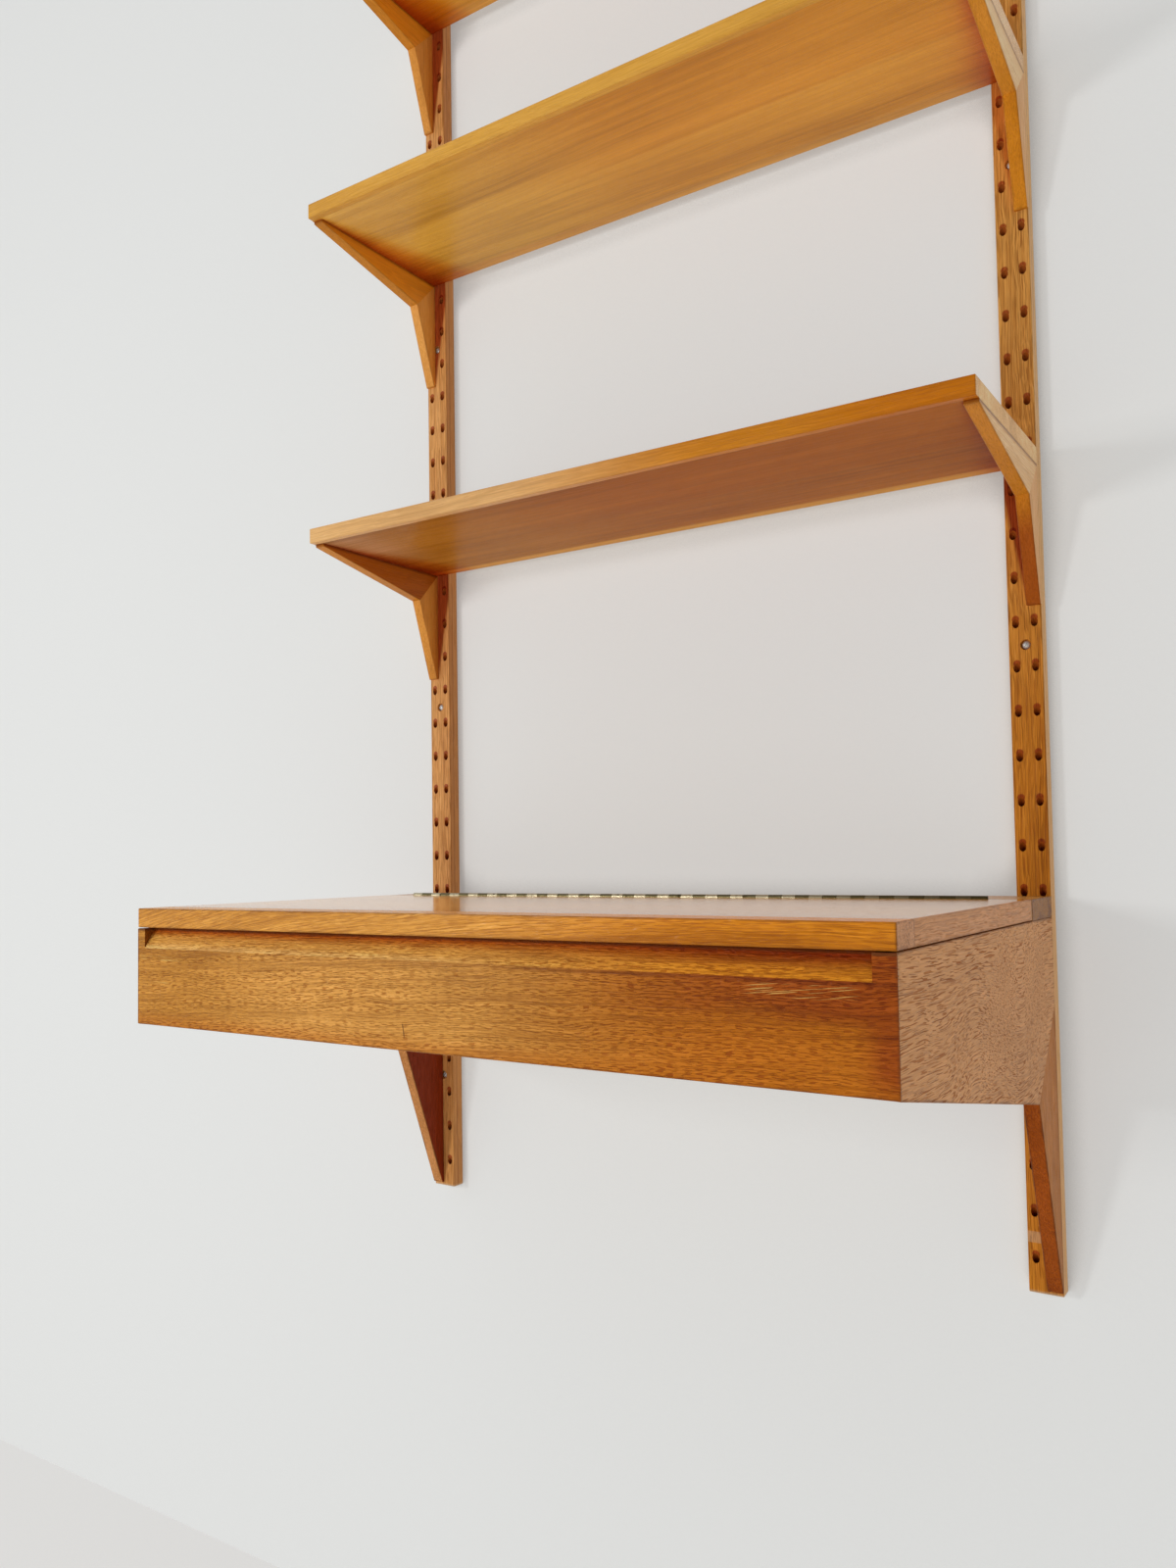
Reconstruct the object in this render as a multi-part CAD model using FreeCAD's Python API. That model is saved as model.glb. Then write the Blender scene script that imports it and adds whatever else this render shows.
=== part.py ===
"""Wall-hung oak shelving unit with a lift-lid desk, one solid per real piece.

Millimetres. X runs along the unit from its middle, Y = 0 is the wall behind the rails and -Y is the
room, Z is up from the rails' middle height. Every shelf and the desk hang on slanting pegs in the rails.
"""
import FreeCAD
import Part
import math
import os

# Whole unit
UNIT_WIDTH = 800.0
ARRIS = 1.0

# Rails and their slanting peg holes
RAIL_WIDTH = 33.0
RAIL_THICK = 17.0
HOLE_ROWS = 39
HOLE_PITCH = 45.0
RAIL_END = 33.5
HOLE_DIA = 7.0
HOLE_DEPTH = 13.0
HOLE_INSET = 7.5
HOLE_SLANT = 45.0

# Wall screws, placed between rows of holes
SCREW_FIRST_ROW = 2.5
SCREW_ROW_STEP = 11
SCREWS_PER_RAIL = 4
SCREW_DIA = 4.5
SCREW_NECK_DIA = 3.4
SCREW_HEAD_DIA = 8.0
SCREW_HEAD_RISE = 2.6
SCREW_SINK_DIA = 10.5
SCREW_SINK_DEPTH = 4.5
SCREW_REACH = 38.0
SCREW_POINT = 6.0
SCREW_CLEARANCE = 0.25
CROSS_WIDTH = 1.1
CROSS_LENGTH = 4.8
CROSS_DEPTH = 1.5

# Shelves; the number is the row of holes just above the shelf's top
SHELF_ROWS = {"lower": 18, "middle": 27, "upper": 35}
TOP_BELOW_ROW = 4.3
SHELF_DEPTH = 221.0
SHELF_THICK = 18.0
SHELF_LIPPING = 8.0

# Shelf brackets, measured from the rail's face and the shelf's underside
BRACKET_THICK = 14.0
BRACKET_KNEE_OUT = 36.0
BRACKET_KNEE_DROP = 39.0
BRACKET_FOOT_DROP = 141.5
BRACKET_FOOT_OUT = 3.0
BRACKET_TIP_THICK = 3.0
BRACKET_TIP_SETBACK = 10.0
BRACKET_PEG_ROWS = (1, 3)

# Pegs, dowels and pins
PEG_CLEARANCE = 0.08
PEG_IN_WOOD = 12.0
PEG_END_GAP = 0.5
DOWEL_DIA = 6.0
DOWEL_LENGTH = 20.0
PIN_DIA = 5.0
PIN_LENGTH = 16.0
PIN_SPREAD = 70.0

# Desk, measured from the rail's face and the lid's top
DESK_ROW = 8
DESK_DEPTH = 460.0
DESK_PEG_ROWS = (2, 4, 6)
LID_THICK = 19.5
LID_GAP = 1.0
LID_LIPPING = 37.0
LID_EDGING = 3.0
FRONT_HEIGHT = 97.5
FRONT_THICK = 18.0
SIDE_THICK = 15.0
DESK_KNEE_OUT = 76.0
DESK_KNEE_DROP = 190.0
DESK_MITRE_DROP = 106.0
DESK_FOOT_DROP = 385.0
DESK_FOOT_OUT = 3.0
BOTTOM_THICK = 9.0
BOTTOM_RAISE = 4.0
BACK_THICK = 12.0
TONGUE_THICK = 4.0
TONGUE_WIDTH = 8.0
TONGUE_HEIGHT = 50.0

# Finger recess, a bevel along the front panel's top edge that stops short of both ends
RECESS_HEIGHT = 20.0
RECESS_DEPTH = 12.5
RECESS_LEFT_STOP = 11.0
RECESS_RIGHT_STOP = 17.5

# Long knuckled hinge between the fixed strip and the lid
HINGE_OUT = 81.5
HINGE_RISE = 0.2
HINGE_KNUCKLES = 48
KNUCKLE_LENGTH = 15.0
KNUCKLE_GAP = 0.3
BARREL_DIA = 5.6
HINGE_PIN_DIA = 2.4
HINGE_PIN_CLEARANCE = 0.05
LEAF_THICK = 0.8
LEAF_HALF_GAP = 0.25
LEAF_HEIGHT = 14.0
HINGE_CLEARANCE = 0.4
HINGE_SCREWS = 9
HINGE_SCREW_END = 20.0
HINGE_SCREW_DIA = 3.0
HINGE_SCREW_HEAD = 5.4
HINGE_SCREW_LENGTH = 14.0

# Places worked out from the sizes above
HALF_WIDTH = UNIT_WIDTH / 2
RAIL_LENGTH = (HOLE_ROWS - 1) * HOLE_PITCH + 2 * RAIL_END
RAIL_FACE = -RAIL_THICK
SLANT = math.radians(HOLE_SLANT)
DRILL_WAY = FreeCAD.Vector(0, math.cos(SLANT), -math.sin(SLANT))
PEG_RADIUS = HOLE_DIA / 2 - PEG_CLEARANCE
SIDES = {"left": -1, "right": 1}


def row_height(row):
    """Height of a row of peg holes, counted from the lowest."""
    return -RAIL_LENGTH / 2 + RAIL_END + row * HOLE_PITCH


DESK_FRONT = RAIL_FACE - DESK_DEPTH
DESK_TOP = row_height(DESK_ROW) - TOP_BELOW_ROW
BOX_TOP = DESK_TOP - LID_THICK - LID_GAP
BOX_BOTTOM = BOX_TOP - FRONT_HEIGHT
BOX_INNER = HALF_WIDTH - SIDE_THICK
FRONT_INNER = DESK_FRONT + FRONT_THICK
BACK_INNER = RAIL_FACE - BACK_THICK
HINGE_Y = RAIL_FACE - HINGE_OUT
HINGE_Z = DESK_TOP + HINGE_RISE
SEAM_HALF = LEAF_HALF_GAP + LEAF_THICK
STRIP_FRONT = HINGE_Y + SEAM_HALF
LID_REAR = HINGE_Y - SEAM_HALF
LIPPING_REAR = DESK_FRONT + LID_LIPPING
HINGE_LENGTH = HINGE_KNUCKLES * KNUCKLE_LENGTH
WAY_X = FreeCAD.Vector(1, 0, 0)
WAY_Y = FreeCAD.Vector(0, 1, 0)
WAY_Z = FreeCAD.Vector(0, 0, 1)


def point(x, y, z):
    return FreeCAD.Vector(x, y, z)


def block(x_span, y_span, z_span):
    """Box between three pairs of limits, in any order."""
    low = [min(span) for span in (x_span, y_span, z_span)]
    size = [abs(span[1] - span[0]) for span in (x_span, y_span, z_span)]
    return Part.makeBox(*size, point(*low))


def side_profile(outline, x_span):
    """Board cut to an outline of (y, z) points and as thick as x_span."""
    start = min(x_span)
    corners = [point(start, y, z) for y, z in outline]
    face = Part.Face(Part.makePolygon(corners + corners[:1]))
    return face.extrude(WAY_X * abs(x_span[1] - x_span[0]))


def plan_profile(outline, z_span):
    """Board cut to an outline of (x, y) points and as tall as z_span."""
    start = min(z_span)
    corners = [point(x, y, start) for x, y in outline]
    face = Part.Face(Part.makePolygon(corners + corners[:1]))
    return face.extrude(WAY_Z * abs(z_span[1] - z_span[0]))


def rod(start, way, length, diameter):
    return Part.makeCylinder(diameter / 2, length, start, way)


def soften(board, seats):
    """Round the board's edges, but not those that lie in a seat: a (point, normal) plane."""
    def seated(edge):
        ends = [vertex.Point for vertex in edge.Vertexes]
        return any(all(abs((end - spot).dot(way)) < 1e-6 for end in ends) for spot, way in seats)
    return board.makeFillet(ARRIS, [edge for edge in board.Edges if not seated(edge)])


def outer_span(side, thickness):
    """X limits of a board whose outer face is flush with the unit's end."""
    return (SIDES[side] * HALF_WIDTH, SIDES[side] * (HALF_WIDTH - thickness))


def peg_place(side, row):
    """Middle of an outer peg hole's mouth on the rail's face."""
    return point(SIDES[side] * (HALF_WIDTH - HOLE_INSET), RAIL_FACE, row_height(row))


def peg(side, row):
    length = PEG_IN_WOOD + HOLE_DEPTH - PEG_END_GAP
    return rod(peg_place(side, row) - DRILL_WAY * PEG_IN_WOOD, DRILL_WAY, length, 2 * PEG_RADIUS)


def mitre_dowels(side, thickness, knee, corner, shares):
    """Dowels square across a mitre from knee to corner, in the middle of the board's thickness."""
    x_middle = sum(outer_span(side, thickness)) / 2
    run_y = corner[0] - knee[0]
    run_z = corner[1] - knee[1]
    way = point(0, -run_z, run_y).normalize()
    dowels = []
    for share in shares:
        middle = point(x_middle, knee[0] + share * run_y, knee[1] + share * run_z)
        dowels.append(rod(middle - way * (DOWEL_LENGTH / 2), way, DOWEL_LENGTH, DOWEL_DIA))
    return dowels


def mitre_seat(knee, corner):
    way = point(0, -(corner[1] - knee[1]), corner[0] - knee[0]).normalize()
    return (point(0, *knee), way)


def wall_screw_places(side):
    """Where the screw heads seat, sunk below the rail's face so that brackets pass over them."""
    x = SIDES[side] * (HALF_WIDTH - RAIL_WIDTH / 2)
    rows = [SCREW_FIRST_ROW + step * SCREW_ROW_STEP for step in range(SCREWS_PER_RAIL)]
    return [point(x, RAIL_FACE + SCREW_SINK_DEPTH, row_height(row)) for row in rows]


def wall_screw(place):
    """Round-head screw with a crossed slot: a plain neck in the rail and a thicker shank behind it."""
    head_radius = SCREW_HEAD_DIA / 2
    ball_radius = (head_radius ** 2 + SCREW_HEAD_RISE ** 2) / (2 * SCREW_HEAD_RISE)
    ball = Part.makeSphere(ball_radius, place + WAY_Y * (ball_radius - SCREW_HEAD_RISE))
    head = ball.common(rod(place - WAY_Y * SCREW_HEAD_RISE, WAY_Y, SCREW_HEAD_RISE, SCREW_HEAD_DIA))
    neck = rod(place, WAY_Y, -place.y, SCREW_NECK_DIA)
    shank = rod(point(place.x, 0, place.z), WAY_Y, SCREW_REACH, SCREW_DIA)
    tip_start = point(place.x, SCREW_REACH, place.z)
    tip = Part.makeCone(SCREW_DIA / 2, SCREW_DIA / 8, SCREW_POINT, tip_start, WAY_Y)
    screw = head.fuse([neck, shank, tip]).removeSplitter()
    slot_depth = (place.y - SCREW_HEAD_RISE, place.y - SCREW_HEAD_RISE + CROSS_DEPTH)
    long_way = (-CROSS_LENGTH / 2, CROSS_LENGTH / 2)
    short_way = (-CROSS_WIDTH / 2, CROSS_WIDTH / 2)
    for x_way, z_way in ((long_way, short_way), (short_way, long_way)):
        x_span = [place.x + x for x in x_way]
        z_span = [place.z + z for z in z_way]
        screw = screw.cut(block(x_span, slot_depth, z_span))
    return screw


def rail(side):
    """Upright with two columns of blind holes that slant down into the wood."""
    half_length = RAIL_LENGTH / 2
    board = block(outer_span(side, RAIL_WIDTH), (RAIL_FACE, 0), (-half_length, half_length))
    board = soften(board, [(point(0, 0, 0), WAY_Y)])
    outer = SIDES[side] * (HALF_WIDTH - HOLE_INSET)
    inner = SIDES[side] * (HALF_WIDTH - RAIL_WIDTH + HOLE_INSET)
    holes = []
    for row in range(HOLE_ROWS):
        for x in (outer, inner):
            mouth = point(x, RAIL_FACE, row_height(row))
            start = mouth - DRILL_WAY * (2 * HOLE_DIA)
            holes.append(rod(start, DRILL_WAY, HOLE_DEPTH + 2 * HOLE_DIA, HOLE_DIA))
    for place in wall_screw_places(side):
        holes.append(rod(place - WAY_Y * SCREW_SINK_DEPTH, WAY_Y, SCREW_SINK_DEPTH, SCREW_SINK_DIA))
        holes.append(rod(place, WAY_Y, RAIL_THICK, SCREW_DIA + 2 * SCREW_CLEARANCE))
    return board.cut(holes)


def rails():
    pieces = {f"{side}_rail": rail(side) for side in SIDES}
    screws = [wall_screw(place) for side in SIDES for place in wall_screw_places(side)]
    pieces["wall_screws"] = Part.Compound(screws)
    return pieces


def shelf(level, top_row):
    """Board with a front lipping on two mitred brackets that hook into the rails."""
    top = row_height(top_row) - TOP_BELOW_ROW
    under = top - SHELF_THICK
    front = RAIL_FACE - SHELF_DEPTH
    lipping_rear = front + SHELF_LIPPING
    whole_width = (-HALF_WIDTH, HALF_WIDTH)
    lipping_seat = (point(0, lipping_rear, 0), WAY_Y)
    rear_seat = (point(0, RAIL_FACE, 0), WAY_Y)
    under_seat = (point(0, 0, under), WAY_Z)
    board = block(whole_width, (lipping_rear, RAIL_FACE), (under, top))
    board = soften(board, [lipping_seat, rear_seat, under_seat])
    lipping = soften(block(whole_width, (front, lipping_rear), (under, top)), [lipping_seat])

    tip = front + BRACKET_TIP_SETBACK
    knee = (RAIL_FACE - BRACKET_KNEE_OUT, under - BRACKET_KNEE_DROP)
    corner = (RAIL_FACE, under)
    foot = under - BRACKET_FOOT_DROP
    arm_outline = [corner, (tip, under), (tip, under - BRACKET_TIP_THICK), knee]
    leg_outline = [corner, knee, (RAIL_FACE - BRACKET_FOOT_OUT, foot), (RAIL_FACE, foot)]
    mitre = mitre_seat(knee, corner)
    pin_middle = (tip + RAIL_FACE) / 2

    pieces = {}
    pegs = []
    dowels = []
    pins = []
    for side in SIDES:
        span = outer_span(side, BRACKET_THICK)
        side_pegs = [peg(side, top_row - drop) for drop in BRACKET_PEG_ROWS]
        side_dowels = mitre_dowels(side, BRACKET_THICK, knee, corner, [0.5])
        pin_x = sum(span) / 2
        pin_start = under - PIN_LENGTH / 2
        pin_places = [pin_middle, pin_middle + PIN_SPREAD]
        side_pins = [rod(point(pin_x, y, pin_start), WAY_Z, PIN_LENGTH, PIN_DIA) for y in pin_places]
        arm = soften(side_profile(arm_outline, span), [under_seat, mitre])
        leg = soften(side_profile(leg_outline, span), [rear_seat, mitre])
        pieces[f"{level}_{side}_bracket_arm"] = arm.cut(side_dowels + side_pins)
        pieces[f"{level}_{side}_bracket_leg"] = leg.cut(side_dowels + side_pegs)
        pegs += side_pegs
        dowels += side_dowels
        pins += side_pins
    pieces[f"{level}_shelf_board"] = board.cut(pins)
    pieces[f"{level}_shelf_lipping"] = lipping
    pieces[f"{level}_bracket_pegs"] = Part.Compound(pegs)
    pieces[f"{level}_mitre_dowels"] = Part.Compound(dowels)
    pieces[f"{level}_shelf_pins"] = Part.Compound(pins)
    return pieces


def corner_cut(side):
    """Wedge of the side panel's front corner that the front panel's mitred end takes."""
    outer, inner = outer_span(side, SIDE_THICK)
    return plan_profile([(outer, DESK_FRONT), (inner, DESK_FRONT), (inner, FRONT_INNER)],
                        (DESK_TOP - DESK_FOOT_DROP, DESK_TOP))


def corner_seat(side):
    outer, inner = outer_span(side, SIDE_THICK)
    way = point(FRONT_THICK, outer - inner, 0).normalize()
    return (point(outer, DESK_FRONT, 0), way)


def corner_tongue(side):
    """Loose tongue across the mitred front corner, kept below the finger recess."""
    outer, inner = outer_span(side, SIDE_THICK)
    way = corner_seat(side)[1]
    along = point(-way.y, way.x, 0)
    middle = point((outer + inner) / 2, (DESK_FRONT + FRONT_INNER) / 2, 0)
    steps = ((1, 1), (-1, 1), (-1, -1), (1, -1))
    corners = [middle + way * (a * TONGUE_WIDTH / 2) + along * (b * TONGUE_THICK / 2) for a, b in steps]
    low = BOX_BOTTOM + (FRONT_HEIGHT - RECESS_HEIGHT - TONGUE_HEIGHT) / 2
    return plan_profile([(corner.x, corner.y) for corner in corners], (low, low + TONGUE_HEIGHT))


def front_panel(tongues):
    """Front with mitred ends and a bevelled finger recess under the lid's edge."""
    outline = [(-HALF_WIDTH, DESK_FRONT), (HALF_WIDTH, DESK_FRONT),
               (BOX_INNER, FRONT_INNER), (-BOX_INNER, FRONT_INNER)]
    board = plan_profile(outline, (BOX_BOTTOM, BOX_TOP))
    inner_seat = (point(0, FRONT_INNER, 0), WAY_Y)
    board = soften(board, [corner_seat("left"), corner_seat("right"), inner_seat])
    bevel = [(DESK_FRONT + RECESS_DEPTH, BOX_TOP), (DESK_FRONT, BOX_TOP - RECESS_HEIGHT),
             (DESK_FRONT - RECESS_DEPTH, BOX_TOP - RECESS_HEIGHT), (DESK_FRONT - RECESS_DEPTH, BOX_TOP)]
    recess = side_profile(bevel, (RECESS_LEFT_STOP - HALF_WIDTH, HALF_WIDTH - RECESS_RIGHT_STOP))
    return board.cut([recess] + tongues)


def desk_sides(tongues, strip_dowels):
    """Side panels that slope down to a knee, and the tapered legs mitred under them."""
    knee = (RAIL_FACE - DESK_KNEE_OUT, DESK_TOP - DESK_KNEE_DROP)
    corner = (RAIL_FACE, DESK_TOP - DESK_MITRE_DROP)
    foot = DESK_TOP - DESK_FOOT_DROP
    side_outline = [(DESK_FRONT, BOX_TOP), (DESK_FRONT, BOX_BOTTOM), knee, corner, (RAIL_FACE, BOX_TOP)]
    leg_outline = [corner, knee, (RAIL_FACE - DESK_FOOT_OUT, foot), (RAIL_FACE, foot)]
    mitre = mitre_seat(knee, corner)
    rear_seat = (point(0, RAIL_FACE, 0), WAY_Y)
    pieces = {}
    pegs = []
    dowels = []
    for side in SIDES:
        span = outer_span(side, SIDE_THICK)
        side_pegs = [peg(side, DESK_ROW - drop) for drop in DESK_PEG_ROWS]
        side_dowels = mitre_dowels(side, SIDE_THICK, knee, corner, [0.35, 0.7])
        panel = side_profile(side_outline, span).cut(corner_cut(side))
        inner_seat = (point(span[1], 0, 0), WAY_X)
        panel = soften(panel, [mitre, rear_seat, corner_seat(side), inner_seat])
        leg = soften(side_profile(leg_outline, span), [mitre, rear_seat])
        pieces[f"desk_{side}_side"] = panel.cut(side_dowels + side_pegs + strip_dowels + tongues)
        pieces[f"desk_{side}_leg"] = leg.cut(side_dowels + side_pegs)
        pegs += side_pegs
        dowels += side_dowels
    pieces["desk_pegs"] = Part.Compound(pegs)
    pieces["desk_mitre_dowels"] = Part.Compound(dowels)
    return pieces


def hinge_screw(x, way):
    """Countersunk screw through a leaf, driven along way, with its head flush in the leaf."""
    head_start = point(x, HINGE_Y, DESK_TOP - LEAF_HEIGHT / 2 - BARREL_DIA / 4) + way * LEAF_HALF_GAP
    head_depth = (HINGE_SCREW_HEAD - HINGE_SCREW_DIA) / 2
    head = Part.makeCone(HINGE_SCREW_HEAD / 2, HINGE_SCREW_DIA / 2, head_depth, head_start, way)
    shank = rod(head_start + way * head_depth, way, HINGE_SCREW_LENGTH - head_depth, HINGE_SCREW_DIA)
    return head.fuse(shank).removeSplitter()


def hinge_screws(way):
    reach = HINGE_LENGTH / 2 - HINGE_SCREW_END
    step = 2 * reach / (HINGE_SCREWS - 1)
    return [hinge_screw(index * step - reach, way) for index in range(HINGE_SCREWS)]


def hinge_leaf(way, first_knuckle):
    """Leaf on the side of the seam that way points to, with every second knuckle on its edge."""
    barrel_radius = BARREL_DIA / 2
    bore = HINGE_PIN_DIA + 2 * HINGE_PIN_CLEARANCE
    plate_top = HINGE_Z - barrel_radius - HINGE_CLEARANCE
    tab_top = HINGE_Z - (barrel_radius + bore / 2) / 2
    y_span = [HINGE_Y + way.y * LEAF_HALF_GAP, HINGE_Y + way.y * SEAM_HALF]
    half_length = HINGE_LENGTH / 2
    plate = block((-half_length, half_length), y_span, (DESK_TOP - LEAF_HEIGHT, plate_top))
    pieces = []
    for index in range(first_knuckle, HINGE_KNUCKLES, 2):
        start = -half_length + index * KNUCKLE_LENGTH + KNUCKLE_GAP / 2
        length = KNUCKLE_LENGTH - KNUCKLE_GAP
        middle = point(start, HINGE_Y, HINGE_Z)
        knuckle = rod(middle, WAY_X, length, BARREL_DIA).cut(rod(middle, WAY_X, length, bore))
        pieces += [knuckle, block((start, start + length), y_span, (plate_top, tab_top))]
    return plate.fuse(pieces).removeSplitter()


def hinge_cove():
    """Room for the barrel along the seam's two upper edges."""
    start = point(-HINGE_LENGTH / 2 - HINGE_CLEARANCE, HINGE_Y, HINGE_Z)
    return rod(start, WAY_X, HINGE_LENGTH + 2 * HINGE_CLEARANCE, BARREL_DIA + 2 * HINGE_CLEARANCE)


def desk():
    """Box of the desk with its fixed rear strip and the fixed half of the hinge."""
    tongues = [corner_tongue(side) for side in SIDES]
    strip_middle = (STRIP_FRONT + RAIL_FACE) / 2
    strip_offset = (RAIL_FACE - STRIP_FRONT) / 4
    dowel_start = BOX_TOP - DOWEL_LENGTH / 2
    strip_dowels = []
    for side in SIDES:
        x = sum(outer_span(side, SIDE_THICK)) / 2
        for y in (strip_middle - strip_offset, strip_middle + strip_offset):
            strip_dowels.append(rod(point(x, y, dowel_start), WAY_Z, DOWEL_LENGTH, DOWEL_DIA))
    screws = hinge_screws(WAY_Y)
    strip_seats = [(point(0, RAIL_FACE, 0), WAY_Y), (point(0, STRIP_FRONT, 0), WAY_Y)]
    strip = block((-HALF_WIDTH, HALF_WIDTH), (STRIP_FRONT, RAIL_FACE), (BOX_TOP, DESK_TOP))
    strip = soften(strip, strip_seats)
    inside = (-BOX_INNER, BOX_INNER)
    bottom_low = BOX_BOTTOM + BOTTOM_RAISE
    bottom_heights = (bottom_low, bottom_low + BOTTOM_THICK)
    pin_start = point(-HINGE_LENGTH / 2, HINGE_Y, HINGE_Z)

    pieces = desk_sides(tongues, strip_dowels)
    pieces["desk_front_panel"] = front_panel(tongues)
    pieces["desk_corner_tongues"] = Part.Compound(tongues)
    pieces["desk_bottom_panel"] = block(inside, (FRONT_INNER, BACK_INNER), bottom_heights)
    pieces["desk_back_panel"] = block(inside, (BACK_INNER, RAIL_FACE), (bottom_low, BOX_TOP))
    pieces["desk_top_strip"] = strip.cut([hinge_cove()] + strip_dowels + screws)
    pieces["desk_strip_dowels"] = Part.Compound(strip_dowels)
    pieces["hinge_fixed_leaf"] = hinge_leaf(WAY_Y, 0).cut(screws)
    pieces["hinge_fixed_screws"] = Part.Compound(screws)
    pieces["hinge_pin"] = rod(pin_start, WAY_X, HINGE_LENGTH, HINGE_PIN_DIA)
    return pieces


def lid():
    """Lift-up writing surface: an edged board with a wide front lipping."""
    heights = (DESK_TOP - LID_THICK, DESK_TOP)
    screws = hinge_screws(-WAY_Y)
    edging_inner = HALF_WIDTH - LID_EDGING
    lipping_seat = (point(0, LIPPING_REAR, 0), WAY_Y)
    rear_seat = (point(0, LID_REAR, 0), WAY_Y)
    board = block((-edging_inner, edging_inner), (LIPPING_REAR, LID_REAR), heights)
    lipping = block((-HALF_WIDTH, HALF_WIDTH), (DESK_FRONT, LIPPING_REAR), heights)
    pieces = {"lid_board": board.cut([hinge_cove()] + screws),
              "lid_front_lipping": soften(lipping, [lipping_seat]),
              "hinge_lid_leaf": hinge_leaf(-WAY_Y, 1).cut(screws),
              "hinge_lid_screws": Part.Compound(screws)}
    for side in SIDES:
        strip = block(outer_span(side, LID_EDGING), (LIPPING_REAR, LID_REAR), heights)
        inner_seat = (point(SIDES[side] * edging_inner, 0, 0), WAY_X)
        pieces[f"lid_{side}_edging"] = soften(strip, [lipping_seat, rear_seat, inner_seat])
    return pieces


def main():
    os.makedirs("parts", exist_ok=True)
    pieces = rails()
    for level, top_row in SHELF_ROWS.items():
        pieces.update(shelf(level, top_row))
    pieces.update(desk())
    pieces.update(lid())
    for name, shape in pieces.items():
        shape.exportStep(f"parts/{name}.step")
        print(f"{name}: {len(shape.Solids)} solids, {shape.Volume / 1000:.1f} cm3, valid {shape.isValid()}")


main()
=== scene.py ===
"""Finish of a wall-hung oak shelving unit with a lift-lid desk.

Laid out as an add-on and run as a script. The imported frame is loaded, every node gets its finish, the
screws get threads and slots, and a plain room with a pale wall and floor is set round the unit.
Metres, in the frame's own axes: X along the unit, -Y into the room, Z up.
"""
import math
from functools import reduce
from typing import NamedTuple

import bmesh
import bpy
from mathutils import Matrix, Vector


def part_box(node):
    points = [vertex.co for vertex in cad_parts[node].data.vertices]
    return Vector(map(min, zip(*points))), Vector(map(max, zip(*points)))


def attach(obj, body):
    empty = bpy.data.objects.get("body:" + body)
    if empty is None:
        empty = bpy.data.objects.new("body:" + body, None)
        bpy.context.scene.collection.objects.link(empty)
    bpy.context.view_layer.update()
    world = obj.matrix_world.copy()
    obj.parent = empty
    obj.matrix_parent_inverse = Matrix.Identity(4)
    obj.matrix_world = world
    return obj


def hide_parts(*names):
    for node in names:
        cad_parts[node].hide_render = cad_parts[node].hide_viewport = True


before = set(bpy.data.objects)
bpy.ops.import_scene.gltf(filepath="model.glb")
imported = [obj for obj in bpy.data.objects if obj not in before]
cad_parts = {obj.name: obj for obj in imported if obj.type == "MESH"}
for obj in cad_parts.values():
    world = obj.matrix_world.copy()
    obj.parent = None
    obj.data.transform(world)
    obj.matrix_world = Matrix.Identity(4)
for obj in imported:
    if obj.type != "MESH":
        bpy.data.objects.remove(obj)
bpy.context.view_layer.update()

bl_info = {
    "name": "Oak shelving unit with desk",
    "version": (1, 0, 0),
    "blender": (4, 5, 0),
    "location": "View3D > Sidebar > Shelving",
    "description": "Finishes the pieces of a wall-hung shelving unit and sets up its room",
    "category": "Object",
}

LEVELS = ("lower", "middle", "upper")
SIDES = ("left", "right")
WAY_X = Vector((1.0, 0.0, 0.0))
WAY_Y = Vector((0.0, 1.0, 0.0))
WAY_Z = Vector((0.0, 0.0, 1.0))
OUTWARD = {"left": -WAY_X, "right": WAY_X}
GRAIN_X = (0.0, 0.0, 0.0)
GRAIN_Y = (0.0, 0.0, -math.pi / 2)
GRAIN_Z = (0.0, math.pi / 2, 0.0)

# Counts and turns of the screws
WALL_SCREW_ROWS = 4
HINGE_SCREWS = 9
SCREW_SIDES = 16
DOME_STEPS = 6
SLOT_TWIST = math.radians(37)

# Tints that multiply a colour, part by part
DEEP = (0.50, 0.36, 0.28)
# Pale flecks of the grain, which also stand in for painted glints
PALE_FLECK_AND_GLINT = (1.20, 1.32, 1.65)
DARK_PORE = (0.58, 0.40, 0.22)
DARK_GRAIN = (0.58, 0.49, 0.40)
PALE_GRAIN = (1.34, 1.44, 1.70)
REAR_LEAF = (1.06, 1.14, 1.60)
FAR_END = (1.08, 1.40, 3.20)
# Painted shade: wedges beside the brackets' legs, and corners where a board meets its arms
PAINTED_SHADE = {"left": (0.66, 0.30, 0.26), "right": (0.44, 0.17, 0.13)}
LIGHT_PAINTED_SHADE = (0.75, 0.55, 0.45)
# Painted reflection of the left arm in a board's underside
PAINTED_ARM_REFLECTION = (0.90, 0.60, 0.30)
# Painted shade at a peg hole's mouth, which makes the hole look taller
HOLE_SHADE_RED = (0.56, 0.26, 0.24)
CONTACT_SHADE = (0.62, 0.62, 0.62)

# Rails: depth that counts as a face, side seam, peg holes with painted shade, foot, wedges of painted shade
# by the legs
SKIN = 0.0003
RAIL_SEAM = 0.007
PALER_RAIL = (-0.40, 0.10)
HOLE_STEP = 0.045
HOLE_COLUMN = 0.009
HOLE_SHADE_RADIUS = 0.0042
HOLE_SHADE_CORE = 0.0030
SCUFF_WIDTH = 0.0135
SCUFF_HEIGHTS = (-0.8405, -0.8285)
WEDGE_WIDTH = 0.026

# Shelves: where the veneer's leaves meet, refraction of the lacquer, and the arm's painted reflection
LEAF_SHARE = 0.52
BOARD_SHINE = {"lower": 1.09, "middle": 1.30, "upper": 1.26}
ARM_REFLECTION_REACH = 0.075
BRACKET_TIP = 0.003

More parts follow.
